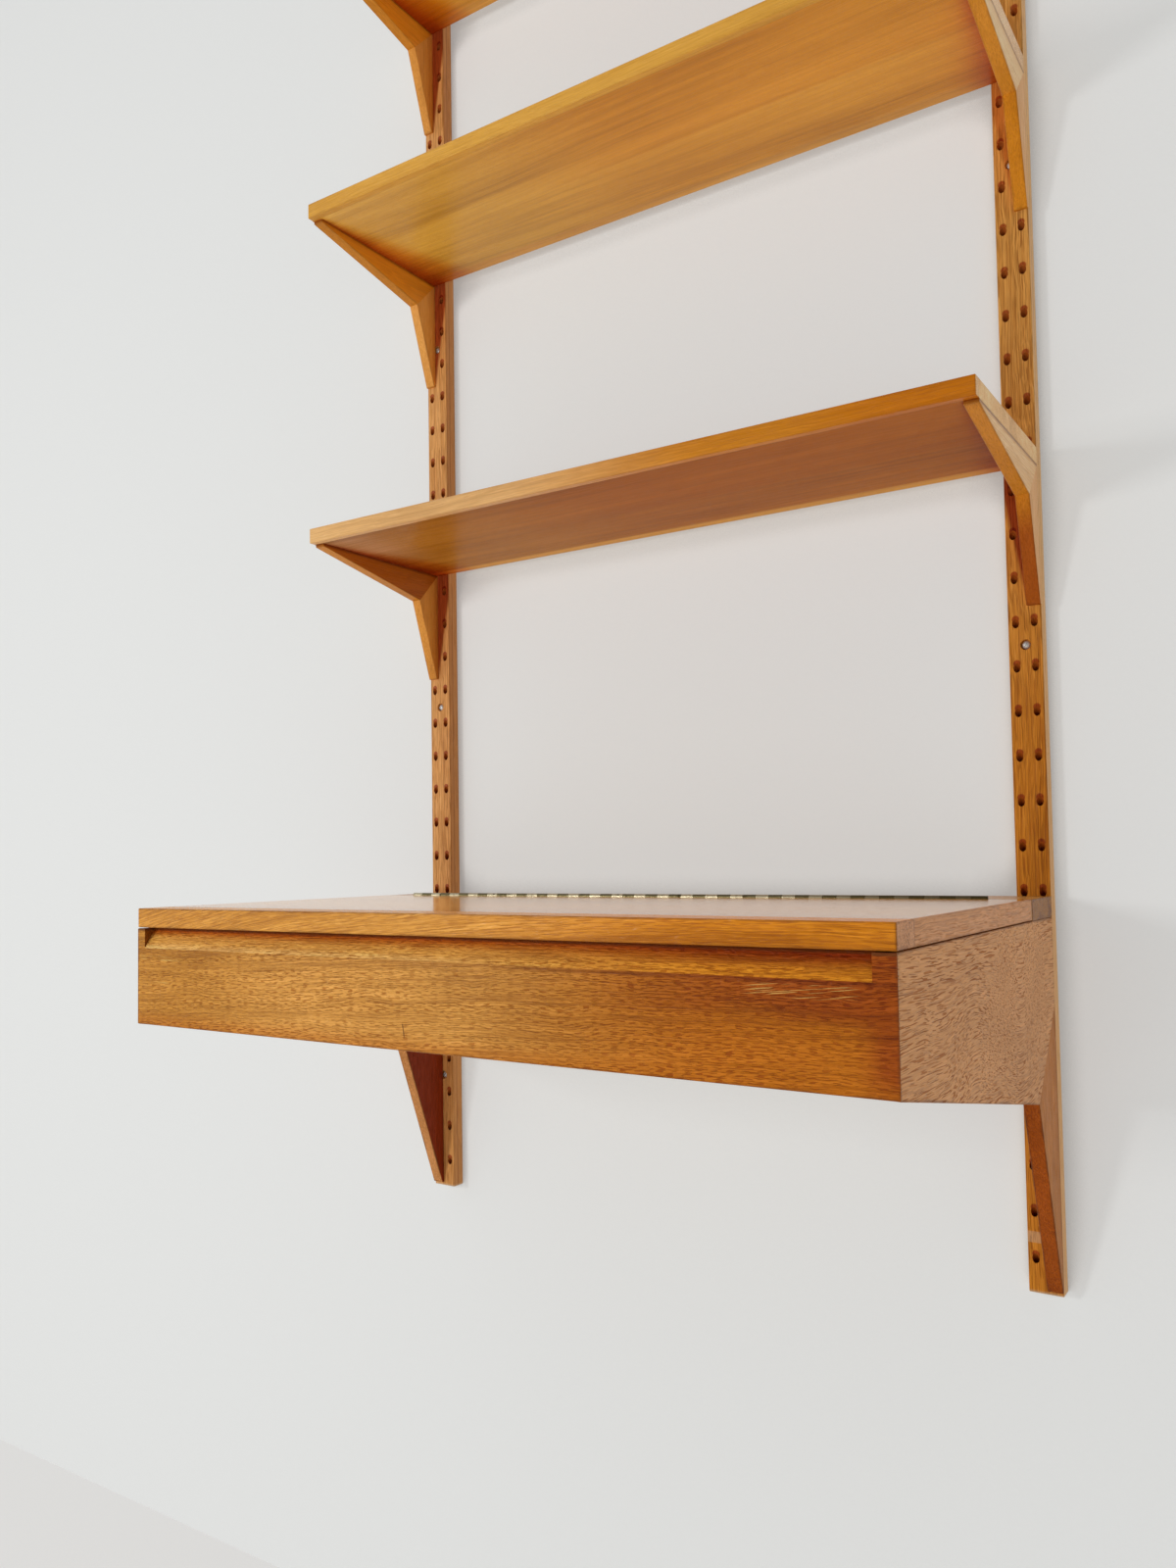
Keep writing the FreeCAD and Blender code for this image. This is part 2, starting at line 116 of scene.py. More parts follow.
# Desk: bevel's depth and height, lean of the grain, curls (y, z, radius, height) and marks of use
RECESS = (0.0125, 0.020)
FRONT_LEAN = -0.04
SIDE_CURLS = ((-0.15, -0.590, 0.11, 0.030), (-0.30, -0.605, 0.08, -0.014))
FRONT_SCRATCHES = (
    ((0.285, -0.5540), (0.376, -0.5430), 0.10),
    ((-0.400, -0.5530), (-0.328, -0.5455), 0.02),
    ((-0.388, -0.5755), (-0.346, -0.5705), 0.0),
)
NICK_LEAN = -0.168
NICK_PLACE = -0.1366
NICK_HEIGHTS = (-0.607, -0.593)
LID_LEAN = -0.10
LID_BOW = 0.19
LID_DENTS = ((-0.4491, -0.5025), (-0.4541, -0.5110))

# Duller colours that lie in patches over the fastenings
BEECH_FLECK = (0.42, 0.21, 0.08)
STEEL_FILM = (0.12, 0.10, 0.08)
ZINC_FILM = (0.60, 0.61, 0.58)

# Room: half its width, gap behind the rails, way to the dim end, and lamps (place, aim, width, height)
ROOM_HALF = 9.0
WALL_GAP = 0.0005
DIM_END = Vector((0.10, -0.995, 0.0))
KEY_LAMP = ((-2.05, -3.35, 0.0), (0.0, -0.2, 0.0), 0.5, 0.7)
FILL_LAMP = ((0.0, -3.2, -1.3), (0.0, -0.2, 0.2), 2.6, 1.2)


def colour(name, default, description):
    return bpy.props.FloatVectorProperty(
        name=name, description=description, default=default, subtype="COLOR", size=3, min=0.0, max=1.0)


def length(name, default, description):
    return bpy.props.FloatProperty(
        name=name, description=description, default=default, unit="LENGTH", precision=5)


def share(name, default, description):
    return bpy.props.FloatProperty(
        name=name, description=description, default=default, subtype="FACTOR", min=0.0, max=1.0)


def angle(name, default, description):
    return bpy.props.FloatProperty(
        name=name, description=description, default=math.radians(default), subtype="ANGLE")


def power(name, default, description):
    return bpy.props.FloatProperty(
        name=name, description=description, default=default, unit="POWER", min=0.0)


def lifted(mid, factors):
    """A colour made paler or deeper, part by part."""
    return [min(part * factor, 1.0) for part, factor in zip(mid, factors)]


class OakColours(bpy.types.PropertyGroup):
    """Mid colours of the oiled oak, piece by piece"""
    left_rail: colour("Left rail", (0.80, 0.375, 0.110), "Left upright with its peg holes")
    right_rail: colour("Right rail", (0.69, 0.245, 0.018), "Right upright with its peg holes")
    upper_rail: colour("Upper rail", (0.88, 0.420, 0.095), "Paler upper part of the right upright")
    rail_side: colour("Rail sides", (0.54, 0.220, 0.065), "Side faces of the left upright")
    # The boards' mids differ as painted light: the lower board deeper, the middle one brighter
    lower_board: colour("Lower board", (0.435, 0.128, 0.006), "Veneer of the lower shelf")
    middle_board: colour("Middle board", (0.72, 0.285, 0.016), "Veneer of the middle shelf")
    upper_board: colour("Upper board", (0.62, 0.200, 0.006), "Veneer of the upper shelf")
    # Painted light on the lower board's left front corner
    painted_light_corner: colour("Pale corner", (0.56, 0.270, 0.110), "Left front corner of the lower shelf")
    lower_lipping: colour("Lower lipping", (0.90, 0.520, 0.200), "Solid front edge of the lower shelf")
    middle_lipping: colour("Middle lipping", (0.78, 0.385, 0.055), "Solid front edge of the middle shelf")
    upper_lipping: colour(
        "Upper lipping", (0.72, 0.330, 0.050), "Front edge of the upper shelf, and rear edges of the boards")
    # Painted sheen on the faces that look along X
    sheen_face: colour("Shelf ends", (0.92, 0.540, 0.230), "Pale end faces of shelves, arms and right rail")
    ripe_lipping: colour("Ripe lipping", (0.71, 0.260, 0.016), "Right part of the shelves' front edges")
    far_lipping: colour("Far lipping", (0.61, 0.185, 0.007), "Right end of the lower shelf's front edge")
    arm: colour("Bracket arms", (0.66, 0.250, 0.020), "Arms of the shelf brackets")
    # Painted shade on the lower arms' inner faces, painted light on the other arms' inner faces
    shaded_lower_arm: colour("Lower inner arms", (0.46, 0.120, 0.006), "Inner faces of the lower shelf's arms")
    lit_inner_arm: colour("Inner arms", (0.86, 0.310, 0.016), "Inner faces of the other arms")
    left_leg: colour("Left legs", (0.79, 0.335, 0.055), "Legs of the left shelf brackets")
    lower_leg: colour("Lower right leg", (0.40, 0.088, 0.001), "Leg of the lower right bracket")
    right_leg: colour("Right legs", (0.70, 0.250, 0.010), "Legs of the other right brackets")
    # Painted sheen on the legs' outer faces
    outer_leg: colour("Outer legs", (0.82, 0.410, 0.145), "Paler outer faces of the brackets' legs")
    # Painted sheen on the front panel: a paler middle, and a deeper right half where it fades
    sheen_front: colour("Bright front", (0.74, 0.335, 0.062), "Paler middle of the front panel")
    front: colour("Desk front", (0.59, 0.245, 0.030), "Front panel of the desk")
    deep_front: colour("Ripe front", (0.51, 0.142, 0.003), "Deeper right half of the front panel")
    # Painted light and shade on the finger recess: lit bevel and foot, shade under the lid and at its right
    # end
    recess: colour("Recess", (0.88, 0.415, 0.072), "Bevel of the finger recess")
    ripe_recess: colour("Ripe recess", (0.79, 0.275, 0.012), "Right half of the finger recess")
    recess_highlight: colour("Bright recess", (0.97, 0.540, 0.150), "Foot of the finger recess")
    recess_shade: colour("Deep recess", (0.60, 0.165, 0.010), "Finger recess close under the lid")
    recess_deep_shade: colour("Dark recess", (0.34, 0.045, 0.006), "Rim and right end of the finger recess")
    front_end: colour("Front end", (0.355, 0.068, 0.001), "Handled right end of the front panel")
    side: colour("Desk sides", (0.70, 0.315, 0.100), "Side panels of the desk")
    left_foot: colour("Left desk leg", (0.60, 0.245, 0.065), "Tapered leg below the desk's left end")
    right_foot: colour("Right desk leg", (0.375, 0.075, 0.001), "Tapered leg below the desk's right end")
    outer_foot: colour("Outer desk legs", (0.51, 0.170, 0.018), "Outer faces of the desk's legs")
    inner_foot: colour("Inner desk legs", (0.24, 0.028, 0.003), "Shaded inner faces of the desk's legs")
    lid: colour("Lid", (0.66, 0.270, 0.018), "Writing surface")
    # Painted reflection on the writing surface's left part
    pale_lid: colour("Pale lid", (0.74, 0.360, 0.075), "Left part of the writing surface")
    lid_front: colour("Lid front", (0.79, 0.345, 0.055), "Solid lipping along the lid's front")
    ripe_lid_front: colour("Ripe lid front", (0.70, 0.230, 0.009), "Right half of the lid's front")
    edging: colour("Lid edging", (0.69, 0.315, 0.125), "Thin edging on the lid's ends")
    strip: colour("Fixed strip", (0.52, 0.235, 0.050), "Strip behind the hinge")
    strip_end: colour("Strip ends", (0.35, 0.130, 0.012), "Greyed end grain of the fixed strip")
    ply: colour("Panels", (0.52, 0.290, 0.110), "Bottom and back of the desk's box")
    beech: colour("Dowels", (0.60, 0.360, 0.170), "Dowels, pins and tongues inside the joints")
    # Wear on arrises, dents and a nick, and painted shade along the front panel's top under the lid
    wear_and_shade: colour("Worn edges", (0.150, 0.045, 0.010), "Handled arrises")
    rubbed: colour("Rubbed wood", (0.72, 0.520, 0.320), "Pale scratches and scuffs")
    scratch: colour("Scratches", (0.88, 0.560, 0.150), "Fine scratches through the oil")
    hole: colour("Hole walls", (0.400, 0.085, 0.010), "Burnished wood inside the peg holes")


class GrainSizes(bpy.types.PropertyGroup):
    """Sizes of the oak's figure"""
    band_length: length("Band length", 1.25, "Length of a broad band of tone along the grain")
    band_width: length("Band width", 0.040, "Width of a broad band of tone")
    streak_length: length("Streak length", 0.33, "Length of a growth streak")
    streak_width: length("Streak width", 0.006, "Width of a growth streak")
    fibre_length: length("Fibre length", 0.085, "Length of the fine fibres")
    fibre_width: length("Fibre width", 0.0013, "Width of the fine fibres")
    fleck_length: length("Fleck length", 0.0050, "Length of a pale fleck")
    fleck_width: length("Fleck width", 0.0008, "Width of a pale fleck")
    pore_length: length("Pore length", 0.0058, "Length of a dark pore mark")
    pore_width: length("Pore width", 0.0008, "Width of a pore mark")
    relief: length("Relief", 0.00035, "Depth of the open grain")
    wear_width: length("Wear width", 0.0022, "How far wear reaches in from an edge")
    roughness: share("Roughness", 0.36, "Roughness of the oiled surface")


class MetalColours(bpy.types.PropertyGroup):
    """Colours of the fittings"""
    zinc: colour("Zinc", (0.88, 0.90, 0.90), "Plated wall screws")
    steel: colour("Steel", (0.50, 0.50, 0.51), "Pegs that hook into the rails")
    brass: colour("Brass", (0.41, 0.36, 0.24), "Fixed leaf of the long hinge, and its screws")
    dull_brass: colour("Dull brass", (0.13, 0.11, 0.055), "Lid leaf of the long hinge")
    patina: colour("Patina", (0.060, 0.045, 0.018), "Dark film on old brass")


class ScrewSizes(bpy.types.PropertyGroup):
    """Sizes of the turned screws"""
    head: length("Head", 0.0092, "Diameter of a wall screw's head")
    rise: length("Head rise", 0.0036, "Height of a wall screw's head")
    sink: length("Sink", 0.0045, "How far a wall screw's head seats below the rail's face")
    neck: length("Neck", 0.0034, "Diameter of the plain neck in the rail")
    shank: length("Shank", 0.0045, "Diameter over the thread")
    reach: length("Reach", 0.038, "Length of thread behind the rail")
    point: length("Point", 0.006, "Length of the point")
    pitch: length("Pitch", 0.0021, "Step of the thread")
    cross: length("Cross", 0.0050, "Length of the crossed slots")
    slot: length("Slot", 0.0009, "Width of a slot")
    slot_depth: length("Slot depth", 0.0011, "Depth of a slot")
    hinge_head: length("Hinge screw head", 0.0054, "Diameter of a hinge screw's head")
    hinge_shank: length("Hinge screw shank", 0.0030, "Diameter of a hinge screw")
    hinge_length: length("Hinge screw length", 0.014, "Length of a hinge screw")


class RoomSetup(bpy.types.PropertyGroup):
    """Wall, floor, light and camera"""
    wall: colour("Wall", (0.825, 0.835, 0.825), "Painted wall behind the rails")
    floor: colour("Floor", (0.76, 0.755, 0.74), "Pale floor")
    glow: share("Glow", 0.49, "Share of the wall's and floor's colour that no shadow takes away")
    floor_level: length("Floor level", -1.50, "Height of the floor below the rails' middle")
    sky: share("Sky", 1.0, "Strength of the light from the room's bright sides")
    dusk: share("Dusk", 0.05, "Strength of the light from the dim end behind the camera")
    backdrop: share("Backdrop", 0.80, "Brightness the camera sees beyond the wall and floor")
    far_side: share("Far side", 0.50, "Strength of the light from the room's right side")
    key_power: power("Key power", 40.0, "Power of the window-like lamp at the left")
    fill_power: power("Fill power", 7.0, "Power of the wide soft lamp low in front")
    lens: bpy.props.FloatProperty(
        name="Lens", description="Focal length", default=27.057, unit="CAMERA", min=1.0)
    lens_shift: bpy.props.FloatVectorProperty(
        name="Lens shift", description="Shift to the right and up, as a share of the picture's height",
        default=(-0.00218, 0.01179), size=2)
    place: bpy.props.FloatVectorProperty(
        name="Camera place", description="Where the camera stands", default=(0.66052, -1.23990, -0.45262),
        subtype="TRANSLATION", unit="LENGTH", size=3)
    yaw: angle("Yaw", -33.2185, "Turn of the view from straight at the wall")
    pitch: angle("Pitch", 2.5975, "Tilt of the view above the horizon")
    roll: angle("Roll", -0.8951, "Lean of the camera")


class Recipe:
    """Shader nodes, joined one step at a time."""

    def __init__(self, tree):
        self.tree = tree

    def put(self, socket, value):
        if isinstance(value, bpy.types.NodeSocket):
            self.tree.links.new(value, socket)
        else:
            socket.default_value = value

    def node(self, kind, inputs=(), **settings):
        made = self.tree.nodes.new("ShaderNode" + kind)
        for name, value in settings.items():
            setattr(made, name, value)
        for key, value in dict(inputs).items():
            self.put(made.inputs[key], value)
        return made

    def math(self, operation, *values):
        return self.node("Math", dict(enumerate(values)), operation=operation).outputs[0]

    def vector(self, operation, *values):
        made = self.node("VectorMath", dict(enumerate(values)), operation=operation)
        return made.outputs["Value" if operation in ("DOT_PRODUCT", "DISTANCE") else "Vector"]

    def fade(self, value, start, end, first=0.0, last=1.0):
        """Smooth step from first to last as value goes from start to end."""
        inputs = {"Value": value, "From Min": start, "From Max": end, "To Min": first, "To Max": last}
        return self.node("MapRange", inputs, interpolation_type="SMOOTHSTEP").outputs[0]

    def noise(self, vector, scale, detail=2.0, roughness=0.5):
        stretched = self.vector("MULTIPLY", vector, scale)
        inputs = {"Vector": stretched, "Scale": 1.0, "Detail": detail, "Roughness": roughness}
        return self.node("TexNoise", inputs).outputs[0]

    def mix(self, amount, first, second):
        made = self.node("Mix", {0: amount}, data_type="RGBA")
        for socket, value in ((made.inputs[6], first), (made.inputs[7], second)):
            self.put(socket, value if isinstance(value, bpy.types.NodeSocket) else (*value, 1.0))
        return made.outputs[2]

    def product(self, *values):
        return reduce(lambda so_far, value: self.math("MULTIPLY", so_far, value), values)

    def total(self, *values):
        return reduce(lambda so_far, value: self.math("ADD", so_far, value), values)

    def apart(self, first, second):
        """Distance between two values."""
        return self.math("ABSOLUTE", self.math("SUBTRACT", first, second))

    def swing(self, value, amount):
        """A noise value's swing about its middle, times amount."""
        return self.product(self.math("SUBTRACT", value, 0.5), amount)

    def between(self, value, low, high, soft):
        """1 between two limits, fading to 0 over a soft margin inside them."""
        return self.product(self.fade(value, low, low + soft), self.fade(value, high, high - soft))


class Finish(Recipe):
    """A material on the piece's own coordinates."""

    def __init__(self, name):
        self.material = bpy.data.materials.new(name)
        self.material.use_nodes = True
        super().__init__(self.material.node_tree)
        self.shader = self.tree.nodes["Principled BSDF"]
        coordinates = self.node("TexCoord")
        self.place = coordinates.outputs["Object"]
        self.normal = coordinates.outputs["Normal"]
        self.x, self.y, self.z = self.node("SeparateXYZ", {0: self.place}).outputs

    def give(self, name, value):
        """Set one of the shader's inputs, or link a value to it."""
        self.put(self.shader.inputs[name], value)

    def open_air(self, reach):
        """1 in the open, and less the more of the air within reach is shut off."""
        return self.node("AmbientOcclusion", {"Distance": reach}, samples=8).outputs["AO"]

    def towards(self, way):
        """1 on the faces that look one way, and 0 on the others."""
        return self.fade(self.vector("DOT_PRODUCT", self.normal, way), 0.6, 0.9)

    def facing(self, way, start=0.6, full=0.9):
        """1 on the faces square to a way, either side, and 0 on the others."""
        square = self.math("ABSOLUTE", self.vector("DOT_PRODUCT", self.normal, way))
        return self.fade(square, start, full)

    def spot(self, centre, radius, soft):
        """1 within a radius of a point, fading to 0 over a soft margin outside it."""
        return self.fade(self.vector("DISTANCE", self.place, centre), radius + soft, radius)

    def edge_distance(self, planes):
        """Distance to the nearest edge: the second smallest distance to the board's faces."""
        nearest = second = None
        for point, inward in planes:
            depth = self.math("SUBTRACT", self.vector("DOT_PRODUCT", self.place, inward), point.dot(inward))
            if nearest is None:
                nearest = depth
                continue
            farther = self.math("MAXIMUM", nearest, depth)
            second = farther if second is None else self.math("MINIMUM", second, farther)
            nearest = self.math("MINIMUM", nearest, depth)
        return second

    def bump(self, height, depth):
        made = self.node("Bump", {"Height": height, "Distance": depth, "Strength": 1.0})
        self.give("Normal", made.outputs["Normal"])


class Figure(NamedTuple):
    """How strongly a board shows its grain, its wear and its shine."""
    curl: float = 0.25
    bands: float = 1.0
    fibres: float = 1.0
    flecks: float = 1.0
    pores: float = 0.5
    stretch: float = 1.0
    breadth: float = 1.0
    wear: float = 0.35
    gloss: float = 1.0
    relief: float = 1.0
    bend: float = 1.20
    sway: tuple = (1, 2)


class Oak(Finish):
    """Oiled oak whose grain runs along one way of a board, with edges darkened by wear."""

    count = 0

    def __init__(self, piece, mid, turn, figure):
        super().__init__(piece + "_oak")
        Oak.count += 1
        self.piece = piece
        self.low, self.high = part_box(piece)
        self.mid = mid
        self.patches = []
        self.figure = figure
        self.sizes = bpy.context.scene.grain_sizes
        seed = Vector((0.731, 0.377, 1.113)) * Oak.count
        placing = {"Vector": self.place, "Rotation": turn, "Location": seed}
        self.laid = self.node("Mapping", placing).outputs[0]
        drift = self.swing(self.noise(self.laid, (1.6, 7.0, 7.0)), 0.030)
        ripple = self.swing(self.noise(self.laid, (16.0, 34.0, 34.0)), 0.016 * figure.curl)
        self.shift = self.total(drift, ripple)

    def patch(self, mask, mid):
        """Give part of the board a mid colour of its own, under the grain."""
        self.patches.append((mask, mid))

    def push(self, amount):
        """Push the grain sideways by a value that changes over the board."""
        self.shift = self.total(self.shift, amount)

    def layer(self, along, across, detail):
        return self.noise(self.grain, (1 / along, 1 / across, 1 / across), detail, 0.57)

    def grow(self, planes=None):
        """Spread the figure over the board and wear its edges; a board that isn't a box names its faces."""
        sizes = self.sizes
        figure = self.figure
        sideways = self.node("CombineXYZ", {axis: self.shift for axis in figure.sway}).outputs[0]
        self.grain = self.vector("ADD", self.laid, sideways)
        bands = self.layer(sizes.band_length, sizes.band_width, 3.0)
        streaks = self.layer(sizes.streak_length, sizes.streak_width, 3.0)
        clouds = self.noise(self.laid, (4.0, 9.0, 9.0))
        self.fibres = self.layer(sizes.fibre_length, sizes.fibre_width, 2.0)
        weights = (
            (bands, 1.0 * figure.bands), (streaks, 0.6 * figure.bands), (clouds, 0.5 * figure.bands),
            (self.fibres, figure.fibres),
        )
        self.tone = self.total(0.5, *(self.swing(layer, weight) for layer, weight in weights))
        self.colour = self.tone_colour(self.mid)
        for mask, mid in self.patches:
            self.colour = self.mix(mask, self.colour, self.tone_colour(mid))

        rings = self.fade(streaks, 0.38, 0.60, 0.45, 1.0)
        pale = self.layer(sizes.fleck_length * figure.stretch, sizes.fleck_width * figure.breadth, 0.0)
        self.flecks = self.fade(pale, 0.56, 0.70)
        # Pale flecks, partly painted glints
        self.tint(self.product(self.flecks, 0.8 * figure.flecks), PALE_FLECK_AND_GLINT)
        dark = self.layer(sizes.pore_length * figure.stretch, sizes.pore_width * figure.breadth, 0.0)
        self.pores = self.product(self.fade(dark, 0.54, 0.65), rings)
        self.tint(self.product(self.pores, figure.pores), DARK_PORE)

        ragged = self.swing(self.noise(self.laid, (30.0, 90.0, 90.0), 3.0), 2.4 * sizes.wear_width)
        faces = planes or box_planes(self.low, self.high)
        edge = self.total(self.edge_distance(faces), ragged)
        wear_and_shade = self.fade(edge, sizes.wear_width, 0.0, 0.0, figure.wear)
        self.stain(wear_and_shade, bpy.context.scene.oak_colours.wear_and_shade)

    def tone_colour(self, mid):
        """A colour's range from dark grain to pale grain, by the tone."""
        ramp = self.node("ValToRGB", {0: self.tone})
        stops = ramp.color_ramp.elements
        stops[0].position = 0.1
        stops[1].position = 0.9
        red, green, blue = lifted(mid, PALE_GRAIN)
        stops[0].color = (*lifted(mid, DARK_GRAIN), 1.0)
        stops[1].color = (red, green, blue + 0.006, 1.0)
        middle = stops.new(0.5)
        middle.color = (*mid, 1.0)
        return ramp.outputs[0]

    def stain(self, mask, cover):
        """Cover the wood with a colour of its own."""
        self.colour = self.mix(mask, self.colour, cover)

    def tint(self, mask, factors):
        """Deepen or lift the wood's colour and keep its grain."""
        self.colour = self.mix(mask, self.colour, self.vector("MULTIPLY", self.colour, factors))

    def scratches(self, low, high, climb):
        """Pale lines that climb along a front, between two corners (x, z)."""
        level = self.math("SUBTRACT", self.z, self.product(self.x, climb))
        spread = self.node("CombineXYZ", {0: self.x, 2: level}).outputs[0]
        lines = self.fade(self.noise(spread, (24.0, 0.0, 1100.0), 1.0), 0.57, 0.64)
        patch = self.product(self.between(self.x, low[0], high[0], 0.012),
                             self.between(self.z, low[1], high[1], 0.0015))
        self.stain(self.product(lines, patch, 0.7), bpy.context.scene.oak_colours.scratch)

    def lay(self):
        """Join the colour, the shine and the relief, and give the board its finish."""
        sizes = self.sizes
        gloss = self.figure.gloss
        uneven = self.swing(self.fibres, 0.25 / gloss)
        rough = self.total(uneven, sizes.roughness / gloss, self.product(self.pores, 0.2 / gloss))
        self.give("Base Color", self.colour)
        self.give("Roughness", rough)
        self.give("IOR", self.figure.bend)
        hills = self.total(self.product(self.fibres, 0.5), self.product(self.flecks, 0.6))
        self.bump(self.math("SUBTRACT", hills, self.pores), sizes.relief * self.figure.relief)
        coat(self.piece, self.material)


def box_planes(low, high):
    """Faces of an upright box as (point, inward normal) pairs."""
    ways = (WAY_X, WAY_Y, WAY_Z)
    return [(low, way) for way in ways] + [(high, -way) for way in ways]


def outline_planes(corners, low, high):
    """Faces of a board cut to a convex outline, but for its joint.

    The corners are (y, z) pairs. The joint lies between the last corner and the first.
    """
    spots = [Vector((0.0, y, z)) for y, z in corners]
    middle = sum(spots, Vector()) / len(spots)
    planes = [(low, WAY_X), (high, -WAY_X)]
    for first, second in zip(spots, spots[1:]):
        along = (second - first).normalized()
        inward = Vector((0.0, -along.z, along.y))
        if inward.dot(middle - first) < 0:
            inward = -inward
        planes.append((first, inward))
    return planes


def coat(name, material):
    """Give a node of the frame its finish."""
    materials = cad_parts[name].data.materials
    materials.clear()
    materials.append(material)


def plain_oak(piece, mid, turn, figure):
    """Oak on a board with no marks of its own."""
    oak = Oak(piece, mid, turn, figure)
    oak.grow()
    oak.lay()


class ShelvingFinishRails(bpy.types.Operator):
    """Oak of the two uprights, with paler sides, dark burnished peg holes and a rubbed foot"""
    bl_idname = "shelving.finish_rails"
    bl_label = "Finish rails"

    def execute(self, context):
        for side in SIDES:
            self.finish_rail(side, context.scene.oak_colours)
        return {"FINISHED"}

    def finish_rail(self, side, colours):
        name = side + "_rail"
        upright = Figure(stretch=6.0, fibres=1.3, flecks=0.5, wear=0.4, pores=0.6)
        oak = Oak(name, getattr(colours, name), GRAIN_Z, upright)
        low, high = oak.low, oak.high
        flank = colours.rail_side
        if side == "right":
            # Painted sheen on the right rail's sides
            flank = colours.sheen_face
            oak.patch(oak.fade(oak.z, *PALER_RAIL), colours.upper_rail)
        oak.grow()
        half = (high.x - low.x) / 2
        across = oak.apart(oak.x, (low.x + high.x) / 2)
        on_front = oak.math("LESS_THAN", oak.y, low.y + SKIN)
        on_side = oak.math("GREATER_THAN", across, half - SKIN)
        oak.stain(oak.fade(across, half - 2 * SKIN, half - SKIN / 3, 0.0, 0.7), flank)
        seam_y = oak.total(oak.swing(oak.noise(oak.place, (0.0, 0.0, 5.0)), 0.003), low.y + RAIL_SEAM)
        seam = oak.fade(oak.apart(oak.y, seam_y), 0.0008, 0.0002)
        oak.tint(oak.product(seam, on_side, 0.8), DEEP)
        # Painted shade in a wedge beside each leg
        for level in LEVELS:
            faint = side == "right" and level != "lower"
            shade = LIGHT_PAINTED_SHADE if faint else PAINTED_SHADE[side]
            oak.tint(oak.product(self.painted_shade_wedge(oak, level, side), on_front), shade)
        # Painted shade on the face at each peg hole's mouth
        rise = oak.math("WRAP", oak.z, HOLE_STEP / 2, -HOLE_STEP / 2)
        spot = oak.node("CombineXYZ", {0: across, 1: rise}).outputs[0]
        over_hole = oak.vector("DISTANCE", spot, (HOLE_COLUMN, HOLE_SHADE_RADIUS, 0.0))
        oak.tint(oak.product(oak.fade(over_hole, HOLE_SHADE_RADIUS, HOLE_SHADE_CORE), on_front), HOLE_SHADE_RED)
        columns = oak.between(across, 0.0053, half - 0.0011, 0.0001)
        depth = oak.between(oak.y, low.y + 0.0001, high.y - 0.001, 0.0005)
        oak.stain(oak.product(columns, depth, 0.95), colours.hole)
        oak.stain(oak.fade(oak.z, low.z + 0.0035, low.z, 0.0, 0.7), colours.rubbed)
        if side == "right":
            scuff = oak.product(oak.between(oak.x, low.x, low.x + SCUFF_WIDTH, 0.0008),
                                oak.between(oak.z, *SCUFF_HEIGHTS, 0.0012), on_front)
            oak.stain(oak.product(scuff, 0.45), colours.rubbed)
        oak.lay()

    def painted_shade_wedge(self, oak, level, side):
        """Wedge of painted shade beside a bracket's leg, widest under the shelf."""
        leg_low, leg_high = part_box(f"{level}_{side}_bracket_leg")
        rise = oak.math("SUBTRACT", oak.z, leg_low.z)
        if side == "left":
            away = oak.math("SUBTRACT", oak.x, leg_high.x)
        else:
            away = oak.math("SUBTRACT", leg_low.x, oak.x)
        wide = oak.product(rise, WEDGE_WIDTH / (leg_high.z - leg_low.z))
        wedge = oak.fade(oak.math("SUBTRACT", wide, away), -0.001, 0.004)
        return oak.product(wedge, oak.fade(rise, 0.0, 0.02), oak.math("LESS_THAN", oak.z, leg_high.z))


